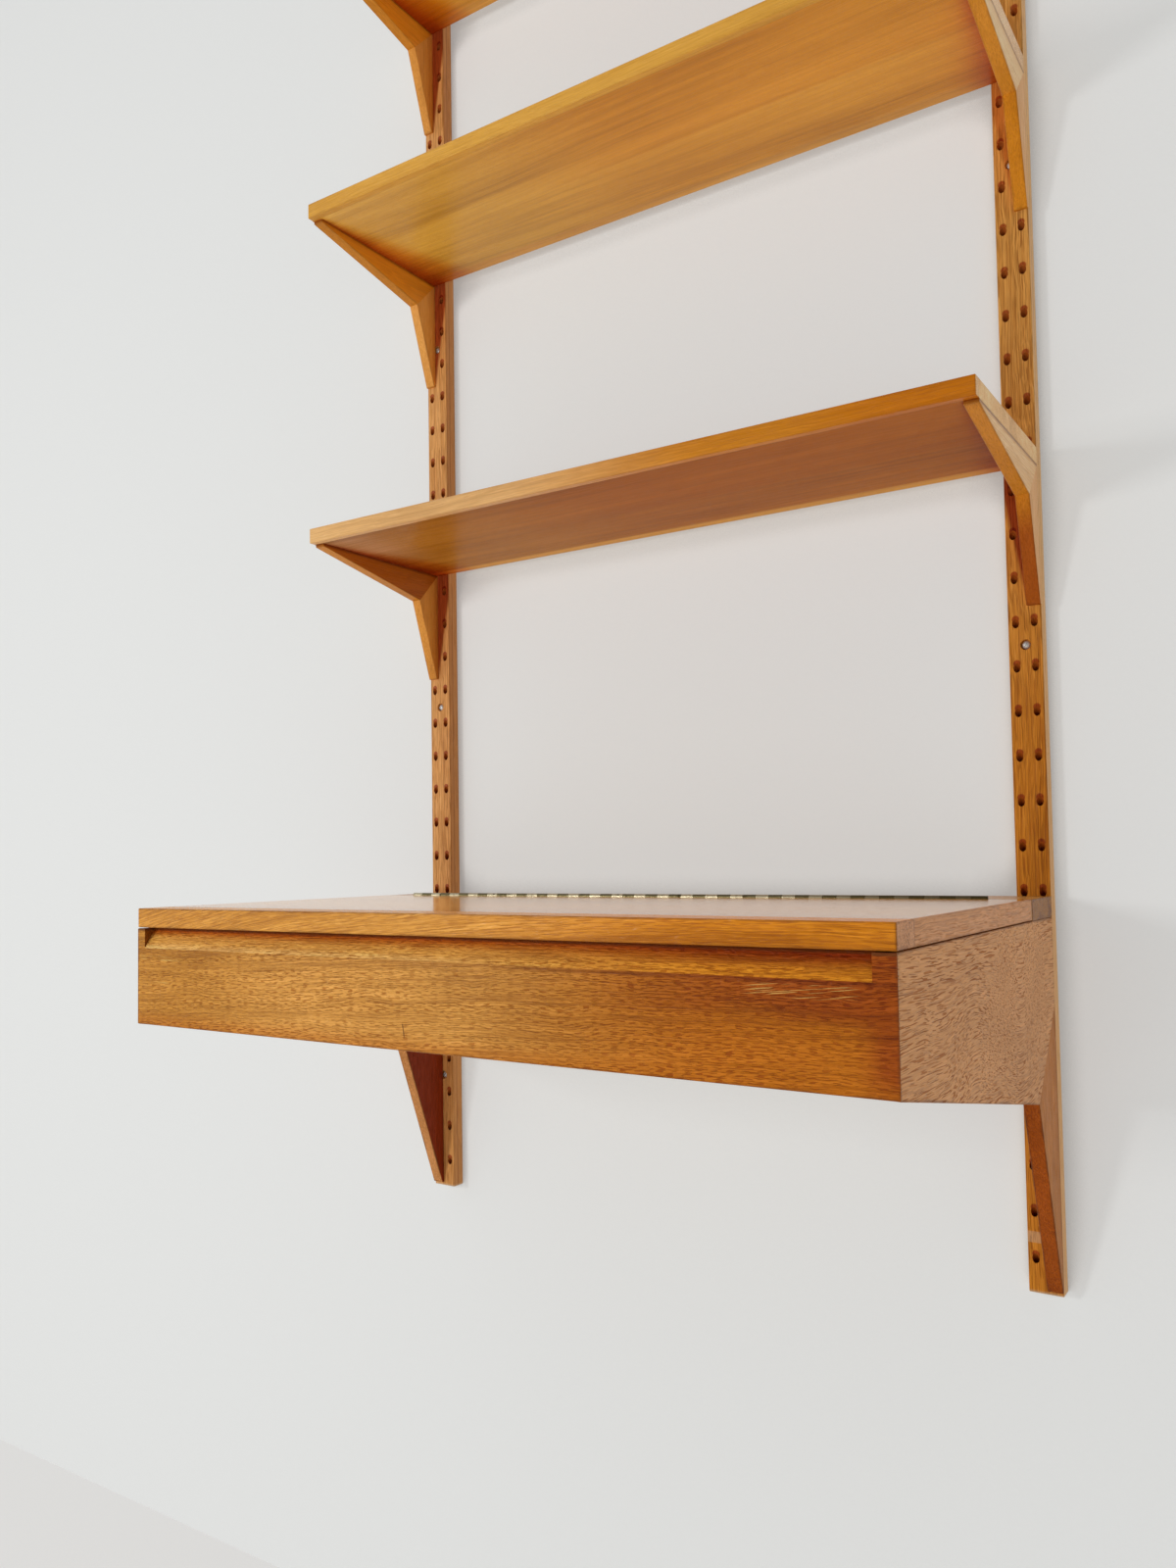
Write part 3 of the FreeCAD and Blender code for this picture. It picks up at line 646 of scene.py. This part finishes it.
class ShelvingFinishShelves(bpy.types.Operator):
    """Smooth veneered boards, each of two leaves, and solid lippings of the three shelves"""
    bl_idname = "shelving.finish_shelves"
    bl_label = "Finish shelves"

    def execute(self, context):
        colours = context.scene.oak_colours
        for level in LEVELS:
            self.finish_board(level, colours)
            self.finish_lipping(level, colours)
        return {"FINISHED"}

    def finish_board(self, level, colours):
        veneer = getattr(colours, level + "_board")
        smooth = Figure(
            bands=0.9, fibres=0.4, flecks=0.2, pores=0.2, stretch=3.0, wear=0.15, gloss=1.5,
            relief=0.12, bend=BOARD_SHINE[level], sway=(1,))
        oak = Oak(level + "_shelf_board", veneer, GRAIN_X, smooth)
        front, rear = oak.low.y, oak.high.y
        seam = front + LEAF_SHARE * (rear - front)
        oak.patch(oak.fade(oak.y, seam, seam + 0.0006), lifted(veneer, REAR_LEAF))
        oak.patch(oak.fade(oak.x, 0.05, -0.25), lifted(veneer, FAR_END))
        oak.patch(oak.fade(oak.y, rear - 0.018, rear - 0.012), colours.upper_lipping)
        if level == "lower":
            # Painted light on the lower board's left front corner
            corner = oak.product(oak.fade(oak.x, -0.29, -0.36), oak.fade(oak.y, -0.07, -0.17))
            oak.patch(corner, colours.painted_light_corner)
        # Painted sheen on the board's end faces
        oak.patch(oak.facing(WAY_X), colours.sheen_face)
        oak.grow()
        # Painted reflection of the left arm in the underside, wider towards the rear
        arm_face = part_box(f"{level}_left_bracket_arm")[1].x
        reach = oak.product(oak.math("SUBTRACT", oak.y, front), ARM_REFLECTION_REACH / (rear - front))
        beside = oak.math("SUBTRACT", oak.math("SUBTRACT", oak.x, arm_face), reach)
        oak.tint(oak.product(oak.fade(beside, 0.010, -0.025), oak.towards(-WAY_Z)), PAINTED_ARM_REFLECTION)
        # Painted contact shade where the arms shut off the air round the board
        oak.tint(oak.fade(oak.open_air(0.07), 0.92, 0.55), PAINTED_SHADE["left"])
        oak.lay()

    def finish_lipping(self, level, colours):
        solid = Figure(
            bands=0.7, fibres=0.4, flecks=0.25, pores=0.2, stretch=4.0, wear=0.12, gloss=1.3, relief=0.3)
        oak = Oak(level + "_shelf_lipping", getattr(colours, level + "_lipping"), GRAIN_X, solid)
        if level != "middle":
            oak.patch(oak.fade(oak.x, -0.15, 0.15), colours.ripe_lipping)
        if level == "lower":
            oak.patch(oak.fade(oak.x, 0.20, 0.34), colours.far_lipping)
        # Painted sheen on the lipping's end faces
        oak.patch(oak.facing(WAY_X), colours.sheen_face)
        oak.grow()
        oak.lay()


class ShelvingFinishBrackets(bpy.types.Operator):
    """Mitred arms and legs under the shelves"""
    bl_idname = "shelving.finish_brackets"
    bl_label = "Finish brackets"

    def execute(self, context):
        for level in LEVELS:
            for side in SIDES:
                self.finish_bracket(level, side, context.scene.oak_colours)
        return {"FINISHED"}

    def finish_bracket(self, level, side, colours):
        arm = f"{level}_{side}_bracket_arm"
        leg = f"{level}_{side}_bracket_leg"
        arm_low, arm_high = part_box(arm)
        leg_low, leg_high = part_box(leg)
        knee = (leg_low.y, arm_low.z)
        corner = (arm_high.y, arm_high.z)
        tip = [(arm_low.y, arm_high.z), (arm_low.y, arm_high.z - BRACKET_TIP)]
        foot = [(leg_high.y - BRACKET_TIP, leg_low.z), (leg_high.y, leg_low.z)]
        painted_inner_shading = colours.lit_inner_arm
        leg_front = colours.left_leg if side == "left" else colours.right_leg
        if level == "lower":
            painted_inner_shading = colours.shaded_lower_arm
            if side == "right":
                leg_front = colours.lower_leg
        outward = OUTWARD[side]
        plain = Figure(
            bands=0.7, fibres=0.5, flecks=0.25, stretch=3.5, pores=0.25, wear=0.3, gloss=1.2, relief=0.4)
        arm_oak = Oak(arm, colours.arm, GRAIN_Y, plain)
        # Painted inner face: shade on the lower arms, light on the others
        arm_oak.patch(arm_oak.towards(-outward), painted_inner_shading)
        # Painted sheen on the arm's outer face
        arm_oak.patch(arm_oak.towards(outward), colours.sheen_face)
        arm_oak.grow(outline_planes([corner, *tip, knee], arm_low, arm_high))
        # Painted contact shade along the arm's top, under the shelf
        arm_oak.tint(arm_oak.fade(arm_oak.z, arm_high.z - 0.0045, arm_high.z - 0.001, 0.0, 0.9), DEEP)
        arm_oak.lay()
        leg_oak = Oak(leg, leg_front, GRAIN_Z, plain)
        if side == "right":
            leg_oak.patch(leg_oak.fade(leg_oak.z, arm_low.z - 0.04, arm_low.z + 0.01), colours.right_leg)
        # Painted sheen on the leg's outer face
        leg_oak.patch(leg_oak.towards(outward), colours.outer_leg)
        leg_oak.grow(outline_planes([knee, *foot, corner], leg_low, leg_high))
        leg_oak.lay()


class ShelvingFinishDesk(bpy.types.Operator):
    """Front, curly-grained sides, tapered legs, panels and fixed strip of the desk"""
    bl_idname = "shelving.finish_desk"
    bl_label = "Finish desk"

    def execute(self, context):
        colours = context.scene.oak_colours
        for side in SIDES:
            self.finish_side(side, colours)
        self.finish_front(colours)
        strip = Oak("desk_top_strip", colours.strip, GRAIN_X, Figure(wear=0.5, gloss=1.5, relief=0.4))
        strip.patch(strip.facing(WAY_X), colours.strip_end)
        strip.grow()
        grime = strip.fade(strip.noise(strip.place, (60.0, 60.0, 90.0), 3.0), 0.50, 0.62)
        strip.tint(strip.product(grime, strip.facing(WAY_X), 0.6), DEEP)
        strip.lay()
        quiet = Figure(bands=0.6, flecks=0.5, pores=0.3, wear=0.1, relief=0.5)
        for name in ("desk_bottom_panel", "desk_back_panel"):
            plain_oak(name, colours.ply, GRAIN_X, quiet)
        return {"FINISHED"}

    def finish_side(self, side, colours):
        panel = f"desk_{side}_side"
        leg = f"desk_{side}_leg"
        low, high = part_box(panel)
        leg_low, leg_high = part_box(leg)
        front_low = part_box("desk_front_panel")[0]
        knee = (leg_low.y, low.z)
        corner = (high.y, leg_high.z)
        panel_corners = [corner, (high.y, high.z), (low.y, high.z), (low.y, front_low.z), knee]
        leg_corners = [knee, (leg_high.y - BRACKET_TIP, leg_low.z), (leg_high.y, leg_low.z), corner]
        curly = Figure(
            curl=0.4, bands=0.4, fibres=0.9, flecks=0.5, stretch=3.8, breadth=1.3, pores=1.0, wear=0.6,
            relief=1.2)
        oak = Oak(panel, colours.side, GRAIN_Y, curly)
        for spot_y, spot_z, radius, height in SIDE_CURLS:
            away = oak.vector("DISTANCE", oak.vector("MULTIPLY", oak.place, (0, 1, 1)), (0, spot_y, spot_z))
            oak.push(oak.fade(away, radius, 0.0, 0.0, height))
        oak.grow(outline_planes(panel_corners, low, high))
        oak.lay()
        handled = Figure(stretch=4.0, fibres=0.8, flecks=0.6, wear=0.7)
        foot = Oak(leg, getattr(colours, side + "_foot"), GRAIN_Z, handled)
        foot.patch(foot.towards(-OUTWARD[side]), colours.inner_foot)
        foot.patch(foot.towards(OUTWARD[side]), colours.outer_foot)
        foot.grow(outline_planes(leg_corners, leg_low, leg_high))
        foot.lay()

    def finish_front(self, colours):
        ticked = Figure(curl=0.5, fibres=1.5, flecks=0.5, pores=0.85, stretch=1.4, wear=0.5, sway=(2,))
        oak = Oak("desk_front_panel", colours.front, GRAIN_X, ticked)
        low, high = oak.low, oak.high
        oak.push(oak.product(oak.x, FRONT_LEAN))
        to_right = oak.fade(oak.x, 0.0, 0.28)
        # Painted sheen: a paler middle and a deeper right half
        oak.patch(oak.between(oak.x, -0.34, 0.20, 0.20), colours.sheen_front)
        oak.patch(to_right, colours.deep_front)
        ragged = oak.swing(oak.noise(oak.place, (9.0, 9.0, 50.0), 3.0), 0.03)
        under_recess = oak.between(oak.total(oak.z, ragged), -0.577, -0.515, 0.014)
        oak.patch(oak.product(under_recess, oak.fade(oak.x, 0.12, 0.36)), colours.front_end)
        oak.patch(oak.fade(oak.x, high.x - 0.034, high.x - 0.006), colours.front_end)
        oak.patch(oak.fade(oak.z, low.z + 0.018, low.z, 0.0, 0.6), colours.deep_front)
        self.colour_recess(oak, to_right, colours)
        oak.grow()
        self.mark_front(oak, colours)
        oak.lay()

    def colour_recess(self, oak, to_right, colours):
        """Bevel painted lit where it tilts up, with a painted highlight at its foot and painted shade close
        under the lid.
        """
        bevel = oak.facing(Vector((0.0, -RECESS[1], RECESS[0])).normalized(), 0.93, 0.98)
        top = oak.high.z
        foot = top - RECESS[1]
        # Painted light on the bevel, which tilts up
        oak.patch(bevel, colours.recess)
        oak.patch(oak.product(bevel, to_right), colours.ripe_recess)
        # Painted highlight at the bevel's foot
        lit = oak.product(oak.fade(oak.z, foot + 0.007, foot), oak.fade(oak.x, 0.12, -0.06))
        oak.patch(oak.product(bevel, lit), colours.recess_highlight)
        # Painted shade close under the lid, and at the rim
        shade_end = oak.fade(oak.x, -0.35, 0.38, top - 0.0115, top - 0.016)
        shaded = oak.product(bevel, oak.fade(oak.z, shade_end, top - 0.002))
        oak.patch(shaded, colours.recess_shade)
        oak.patch(oak.product(shaded, oak.fade(oak.x, 0.02, 0.36)), colours.recess_deep_shade)
        rim = oak.product(bevel, oak.fade(oak.z, top - 0.006, top - 0.001), 0.7)
        oak.patch(rim, colours.recess_deep_shade)

    def mark_front(self, oak, colours):
        """Dark line below the recess, painted shade along the upper edge and on the end faces, scratches and
        a nick.
        """
        top = oak.high.z
        foot = top - RECESS[1]
        line = oak.between(oak.z, foot - 0.0045, foot + 0.001, 0.0025)
        oak.tint(oak.product(line, oak.fade(oak.x, -0.10, 0.20), oak.facing(WAY_Y), 0.6), DEEP)
        # Painted shade on the faces that look along X, the recess's end walls
        oak.tint(oak.facing(WAY_X), DEEP)
        # Painted shade along the front panel's top, under the lid
        oak.stain(oak.fade(oak.z, top - 0.0034, top - 0.0014, 0.0, 0.8), colours.wear_and_shade)
        for low_corner, high_corner, climb in FRONT_SCRATCHES:
            oak.scratches(low_corner, high_corner, climb)
        nick_x = oak.total(oak.product(oak.z, NICK_LEAN), NICK_PLACE)
        nick = oak.fade(oak.apart(oak.x, nick_x), 0.0009, 0.0003)
        oak.stain(oak.product(nick, oak.between(oak.z, *NICK_HEIGHTS, 0.003), 0.8), colours.wear_and_shade)


class ShelvingFinishLid(bpy.types.Operator):
    """Smooth writing surface with its front lipping and end edgings"""
    bl_idname = "shelving.finish_lid"
    bl_label = "Finish lid"

    def execute(self, context):
        colours = context.scene.oak_colours
        polished = Figure(
            bands=0.8, flecks=0.5, pores=0.3, stretch=2.0, wear=0.1, gloss=3.2, relief=0.03, bend=1.52,
            sway=(1,))
        board = Oak("lid_board", colours.lid, GRAIN_X, polished)
        # Painted reflection on the writing surface's left part
        board.patch(board.fade(board.x, 0.20, -0.20), colours.pale_lid)
        board.grow()
        board.lay()
        self.finish_lipping(colours)
        thin = Figure(curl=0.5, bands=0.6, flecks=0.4, stretch=3.0, pores=0.35, wear=0.3, relief=0.5)
        for side in SIDES:
            plain_oak(f"lid_{side}_edging", colours.edging, GRAIN_Y, thin)
        return {"FINISHED"}

    def finish_lipping(self, colours):
        lively = Figure(
            fibres=1.3, flecks=0.6, pores=0.6, stretch=2.4, wear=0.5, gloss=1.5, relief=0.5, sway=(2,))
        oak = Oak("lid_front_lipping", colours.lid_front, GRAIN_X, lively)
        oak.push(oak.total(oak.product(oak.x, LID_LEAN), oak.product(oak.x, oak.x, LID_BOW)))
        oak.patch(oak.fade(oak.x, -0.05, 0.28), colours.ripe_lid_front)
        oak.patch(oak.facing(WAY_X), colours.edging)
        oak.grow()
        ragged = oak.fade(oak.noise(oak.place, (500.0, 500.0, 500.0)), 0.54, 0.60)
        for dent in LID_DENTS:
            oak.stain(oak.product(oak.spot((oak.high.x, *dent), 0.0015, 0.0035), ragged, 0.9), colours.wear_and_shade)
        oak.lay()


def metal(name, bright, dull, roughness, cover=(0.50, 0.72), tarnish=None, metallic=1.0):
    """Metal with patches of a duller film, fine scratches and, if given, a tarnished stretch along X."""
    made = Finish(name)
    patches = made.noise(made.place, (160.0, 160.0, 160.0), 4.0, 0.6)
    scratches = made.noise(made.place, (300.0, 4000.0, 4000.0), 2.0)
    film = made.fade(patches, *cover)
    if tarnish:
        film = made.math("MAXIMUM", film, made.fade(made.x, *tarnish))
    made.give("Base Color", made.mix(film, bright, dull))
    made.give("Metallic", metallic)
    made.give("Roughness", made.total(made.product(film, 0.25), made.swing(scratches, 0.2), roughness))
    made.bump(scratches, 0.00003)
    return made.material


class ShelvingFinishFastenings(bpy.types.Operator):
    """Beech dowels, pins and tongues, and the steel pegs that hook into the rails"""
    bl_idname = "shelving.finish_fastenings"
    bl_label = "Finish fastenings"

    def execute(self, context):
        beech = Finish("turned_beech")
        flecks = beech.noise(beech.place, (500.0, 500.0, 500.0))
        tint = beech.mix(beech.fade(flecks, 0.35, 0.7), context.scene.oak_colours.beech, BEECH_FLECK)
        beech.give("Base Color", tint)
        beech.give("Roughness", 0.6)
        beech.bump(flecks, 0.0001)
        steel = metal("drawn_steel", context.scene.metal_colours.steel, STEEL_FILM, 0.32)
        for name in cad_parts:
            if name.endswith(("_dowels", "_pins", "_tongues")):
                coat(name, beech.material)
            elif name.endswith("_pegs"):
                coat(name, steel)
        return {"FINISHED"}


def turned(profile):
    """Screw body turned about the Y axis from (radius, along) points that start and end on it."""
    screw = bmesh.new()
    spots = [screw.verts.new((radius, along, 0.0)) for radius, along in profile]
    lines = [screw.edges.new(pair) for pair in zip(spots, spots[1:])]
    bmesh.ops.spin(screw, geom=[*spots, *lines], cent=(0, 0, 0), axis=WAY_Y, dvec=(0, 0, 0),
                   angle=math.tau, steps=SCREW_SIDES, use_merge=True, use_duplicate=False)
    bmesh.ops.remove_doubles(screw, verts=screw.verts, dist=1e-6)
    bmesh.ops.recalc_face_normals(screw, faces=screw.faces)
    return screw


def press_slots(screw, slots, depth, head_end):
    """Press slots, given as (half x, half z), into the front of a head that ends at head_end."""
    cap = [face for face in screw.faces if face.calc_center_median().y < head_end and face.normal.y < -0.3]
    geom = {*cap}
    for face in cap:
        geom.update(face.edges, face.verts)
    for half_x, half_z in slots:
        for way, half in ((WAY_X, half_x), (WAY_Z, half_z)):
            for sign in (-1, 1):
                spot = way * half * sign
                cut = bmesh.ops.bisect_plane(screw, geom=list(geom), plane_co=spot, plane_no=way)
                geom = set(cut["geom"])
    floor = []
    for face in geom:
        if isinstance(face, bmesh.types.BMFace):
            middle = face.calc_center_median()
            if any(abs(middle.x) < half_x and abs(middle.z) < half_z for half_x, half_z in slots):
                floor.append(face)
    pressed = bmesh.ops.extrude_face_region(screw, geom=floor)
    bmesh.ops.delete(screw, geom=floor, context="FACES")
    spots = [part for part in pressed["geom"] if isinstance(part, bmesh.types.BMVert)]
    bmesh.ops.translate(screw, verts=spots, vec=WAY_Y * depth)
    bmesh.ops.dissolve_degenerate(screw, dist=1e-6, edges=screw.edges)


def wind_thread(screw, start, pitch, turns, core, crest):
    """Wind a three-sided ridge round the Y axis."""
    section = [(core, start - 0.4 * pitch), (crest, start), (core, start + 0.4 * pitch)]
    first = [screw.verts.new((radius, along, 0.0)) for radius, along in section]
    sides = [screw.edges.new((first[index - 1], first[index])) for index in range(len(first))]
    wound = bmesh.ops.spin(screw, geom=[*first, *sides], cent=(0, 0, 0), axis=WAY_Y,
                           dvec=WAY_Y * pitch / SCREW_SIDES, angle=turns * math.tau,
                           steps=turns * SCREW_SIDES, use_duplicate=False)
    last = [part for part in wound["geom_last"] if isinstance(part, bmesh.types.BMVert)]
    screw.faces.new(first)
    screw.faces.new(last)
    bmesh.ops.recalc_face_normals(screw, faces=screw.faces)


def set_screws(name, node, body, screw, places, material):
    """Copy a screw to every place, in one piece that stands for a node of the frame."""
    one = bpy.data.meshes.new(name + "_one")
    screw.to_mesh(one)
    screw.free()
    group = bmesh.new()
    for matrix in places:
        before = len(group.verts)
        group.from_mesh(one)
        group.verts.ensure_lookup_table()
        bmesh.ops.transform(group, matrix=matrix, verts=group.verts[before:])
    bpy.data.meshes.remove(one)
    mesh = bpy.data.meshes.new(name)
    group.to_mesh(mesh)
    group.free()
    mesh.materials.append(material)
    piece = bpy.data.objects.new(name, mesh)
    bpy.context.scene.collection.objects.link(piece)
    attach(piece, body)
    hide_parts(node)


class ShelvingFinishHinge(bpy.types.Operator):
    """Long brass hinge with a dark film, brighter on the fixed leaf, and its slotted screws"""
    bl_idname = "shelving.finish_hinge"
    bl_label = "Finish hinge"

    def execute(self, context):
        colours = context.scene.metal_colours
        sizes = context.scene.screw_sizes
        tarnish = (0.05, 0.36, 0.0, 0.85)
        brass = metal("rubbed_brass", colours.brass, colours.patina, 0.40, (0.56, 0.74), tarnish)
        dull = metal("old_brass", colours.dull_brass, colours.patina, 0.40, (0.52, 0.70), tarnish)
        coat("hinge_fixed_leaf", brass)
        coat("hinge_pin", brass)
        coat("hinge_lid_leaf", dull)
        half = sizes.hinge_head / 2
        shank = sizes.hinge_shank / 2
        cone = half - shank
        profile = [(0, 0), (half, 0), (shank, cone), (shank, sizes.hinge_length), (0, sizes.hinge_length)]
        slot = (0.42 * sizes.hinge_head, sizes.slot / 2)
        for leaf, body, turn in (("fixed", "desk", 0.0), ("lid", "lid", math.pi)):
            node = f"hinge_{leaf}_screws"
            low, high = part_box(node)
            screw = turned(profile)
            press_slots(screw, [slot], 0.6 * sizes.slot_depth, cone / 2)
            step = (high.x - low.x - sizes.hinge_head) / (HINGE_SCREWS - 1)
            head_y = low.y if leaf == "fixed" else high.y
            places = []
            for index in range(HINGE_SCREWS):
                spot = Vector((low.x + half + index * step, head_y, (low.z + high.z) / 2))
                twist = Matrix.Rotation(SLOT_TWIST * index, 4, "Y")
                places.append(Matrix.Translation(spot) @ Matrix.Rotation(turn, 4, "Z") @ twist)
            set_screws(f"slotted_{leaf}_leaf_screws", node, body, screw, places, brass)
        return {"FINISHED"}


class ShelvingFinishScrews(bpy.types.Operator):
    """Zinc-plated wall screws with crossed slots and wound threads"""
    bl_idname = "shelving.finish_screws"
    bl_label = "Finish screws"

    def execute(self, context):
        sizes = context.scene.screw_sizes
        head = sizes.head / 2
        ball = (head ** 2 + sizes.rise ** 2) / (2 * sizes.rise)
        swing = math.asin(head / ball)
        leans = [swing * step / DOME_STEPS for step in range(DOME_STEPS + 1)]
        dome = [(ball * math.sin(lean), ball * (1 - math.cos(lean)) - sizes.rise) for lean in leans]
        low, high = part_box("wall_screws")
        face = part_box("left_rail")[0].y
        neck = -face - sizes.sink
        core = sizes.neck / 2
        thread_end = neck + sizes.reach
        tip = thread_end + sizes.point
        screw = turned([*dome, (core, 0), (core, thread_end), (core / 4, tip), (0, tip)])
        arm = (sizes.cross / 2, sizes.slot / 2)
        press_slots(screw, [arm, arm[::-1]], sizes.slot_depth, 0.0)
        turns = int(sizes.reach / sizes.pitch) - 1
        wind_thread(screw, neck + sizes.pitch, sizes.pitch, turns, 0.95 * core, sizes.shank / 2)
        centres = {side: sum(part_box(side + "_rail"), Vector()).x / 2 for side in SIDES}
        seat = high.x - centres["right"]
        step = (high.z - low.z - 2 * seat) / (WALL_SCREW_ROWS - 1)
        places = []
        for side in SIDES:
            for row in range(WALL_SCREW_ROWS):
                spot = Vector((centres[side], face + sizes.sink, low.z + seat + row * step))
                places.append(Matrix.Translation(spot) @ Matrix.Rotation(SLOT_TWIST * row, 4, "Y"))
        zinc = metal("zinc_plate", context.scene.metal_colours.zinc, ZINC_FILM, 0.36, metallic=0.6)
        set_screws("wall_screws_threaded", "wall_screws", "rails", screw, places, zinc)
        return {"FINISHED"}


def one_sided(name, tint, room):
    """Matt paint that shows only from its front, that shadows darken only in part, with painted contact
    shade.
    """
    made = Finish(name)
    glow = room.glow
    grit = made.noise(made.place, (260.0, 260.0, 260.0), 3.0)
    # Painted contact shade where nearby parts shut off the air, but none on or near the floor
    near_floor = made.fade(made.z, room.floor_level + 0.20, room.floor_level + 0.06)
    bright = made.math("MAXIMUM", made.fade(made.open_air(0.05), 0.46, 0.74), near_floor)
    paint = made.mix(bright, lifted(tint, CONTACT_SHADE), tint)
    made.give("Base Color", made.vector("MULTIPLY", paint, [1 - glow] * 3))
    made.give("Emission Color", paint)
    made.give("Emission Strength", glow)
    made.give("Roughness", 0.85)
    made.give("Specular IOR Level", 0.2)
    made.bump(grit, 0.0002)
    behind = made.node("NewGeometry").outputs["Backfacing"]
    clear = made.node("BsdfTransparent").outputs[0]
    both = made.node("MixShader", {0: behind, 1: made.shader.outputs[0], 2: clear}).outputs[0]
    made.put(made.tree.nodes["Material Output"].inputs["Surface"], both)
    return made.material


def stage_sheet(name, half, matrix, material):
    mesh = bpy.data.meshes.new(name)
    sheet = bmesh.new()
    bmesh.ops.create_grid(sheet, x_segments=1, y_segments=1, size=half, matrix=matrix)
    sheet.to_mesh(mesh)
    sheet.free()
    made = bpy.data.objects.new(name, mesh)
    made.data.materials.append(material)
    bpy.context.scene.collection.objects.link(made)
    return made


def soft_lamp(name, place, aim, wide, tall, watts):
    lamp = bpy.data.lights.new(name, "AREA")
    lamp.shape = "RECTANGLE"
    lamp.size = wide
    lamp.size_y = tall
    lamp.energy = watts
    made = bpy.data.objects.new(name, lamp)
    made.location = place
    made.rotation_euler = (Vector(aim) - Vector(place)).to_track_quat("-Z", "Y").to_euler()
    made.visible_camera = False
    bpy.context.scene.collection.objects.link(made)


class ShelvingSetStage(bpy.types.Operator):
    """Wall, floor, light and camera"""
    bl_idname = "shelving.set_stage"
    bl_label = "Set stage"

    def execute(self, context):
        scene = context.scene
        room = scene.room_setup
        upright = Matrix.Translation((0, WALL_GAP, 0)) @ Matrix.Rotation(math.pi / 2, 4, "X")
        wall = stage_sheet("wall", ROOM_HALF, upright, one_sided("wall_paint", room.wall, room))
        wall.visible_diffuse = False
        wall.visible_shadow = False
        level = Matrix.Translation((0, 0, room.floor_level))
        stage_sheet("floor", ROOM_HALF, level, one_sided("floor_paint", room.floor, room))
        self.light_room(scene, room)
        self.place_camera(scene, room)
        scene.view_settings.view_transform = "Standard"
        return {"FINISHED"}

    def light_room(self, scene, room):
        world = bpy.data.worlds.new("even_light")
        scene.world = world
        world.use_nodes = True
        air = Recipe(world.node_tree)
        way = air.node("TexCoord").outputs["Generated"]
        dim_end = air.vector("DOT_PRODUCT", way, DIM_END)
        to_right = air.vector("DOT_PRODUCT", way, WAY_X)
        strength = air.product(air.fade(dim_end, 0.45, 0.85, room.sky, room.dusk),
                               air.fade(to_right, -0.2, 1.0, 1.0, room.far_side))
        seen = air.node("LightPath").outputs["Is Camera Ray"]
        strength = air.fade(seen, 0.0, 1.0, strength, room.backdrop)
        background = world.node_tree.nodes["Background"]
        background.inputs["Color"].default_value = (1.0, 1.0, 1.0, 1.0)
        air.put(background.inputs["Strength"], strength)
        soft_lamp("key", *KEY_LAMP, room.key_power)
        soft_lamp("fill", *FILL_LAMP, room.fill_power)

    def place_camera(self, scene, room):
        eye = bpy.data.cameras.new("view")
        eye.lens = room.lens
        eye.shift_x, eye.shift_y = room.lens_shift
        eye.sensor_width = 36.0
        eye.clip_start = 0.01
        camera = bpy.data.objects.new("view", eye)
        turn = Matrix.Rotation(-room.yaw, 4, "Z")
        tilt = Matrix.Rotation(math.pi / 2 + room.pitch, 4, "X")
        lean = Matrix.Rotation(room.roll, 4, "Z")
        camera.matrix_world = Matrix.Translation(room.place) @ turn @ tilt @ lean
        scene.collection.objects.link(camera)
        scene.camera = camera


OPERATORS = (
    ShelvingFinishRails, ShelvingFinishShelves, ShelvingFinishBrackets, ShelvingFinishDesk,
    ShelvingFinishLid, ShelvingFinishFastenings, ShelvingFinishHinge, ShelvingFinishScrews, ShelvingSetStage,
)


class ShelvingPanel(bpy.types.Panel):
    """Finishes of the shelving unit, piece by piece"""
    bl_idname = "VIEW3D_PT_shelving"
    bl_label = "Shelving unit"
    bl_space_type = "VIEW_3D"
    bl_region_type = "UI"
    bl_category = "Shelving"

    def draw(self, context):
        for operator in OPERATORS:
            self.layout.operator(operator.bl_idname)


SETTINGS = {
    "oak_colours": OakColours, "grain_sizes": GrainSizes, "metal_colours": MetalColours,
    "screw_sizes": ScrewSizes, "room_setup": RoomSetup,
}


def register():
    for group in (*SETTINGS.values(), *OPERATORS, ShelvingPanel):
        bpy.utils.register_class(group)
    for name, group in SETTINGS.items():
        setattr(bpy.types.Scene, name, bpy.props.PointerProperty(type=group))


def unregister():
    for name in SETTINGS:
        delattr(bpy.types.Scene, name)
    for group in reversed((*SETTINGS.values(), *OPERATORS, ShelvingPanel)):
        bpy.utils.unregister_class(group)


def main():
    register()
    bpy.ops.shelving.finish_rails()
    bpy.ops.shelving.finish_shelves()
    bpy.ops.shelving.finish_brackets()
    bpy.ops.shelving.finish_desk()
    bpy.ops.shelving.finish_lid()
    bpy.ops.shelving.finish_fastenings()
    bpy.ops.shelving.finish_hinge()
    bpy.ops.shelving.finish_screws()
    bpy.ops.shelving.set_stage()


if __name__ == "__main__":
    main()
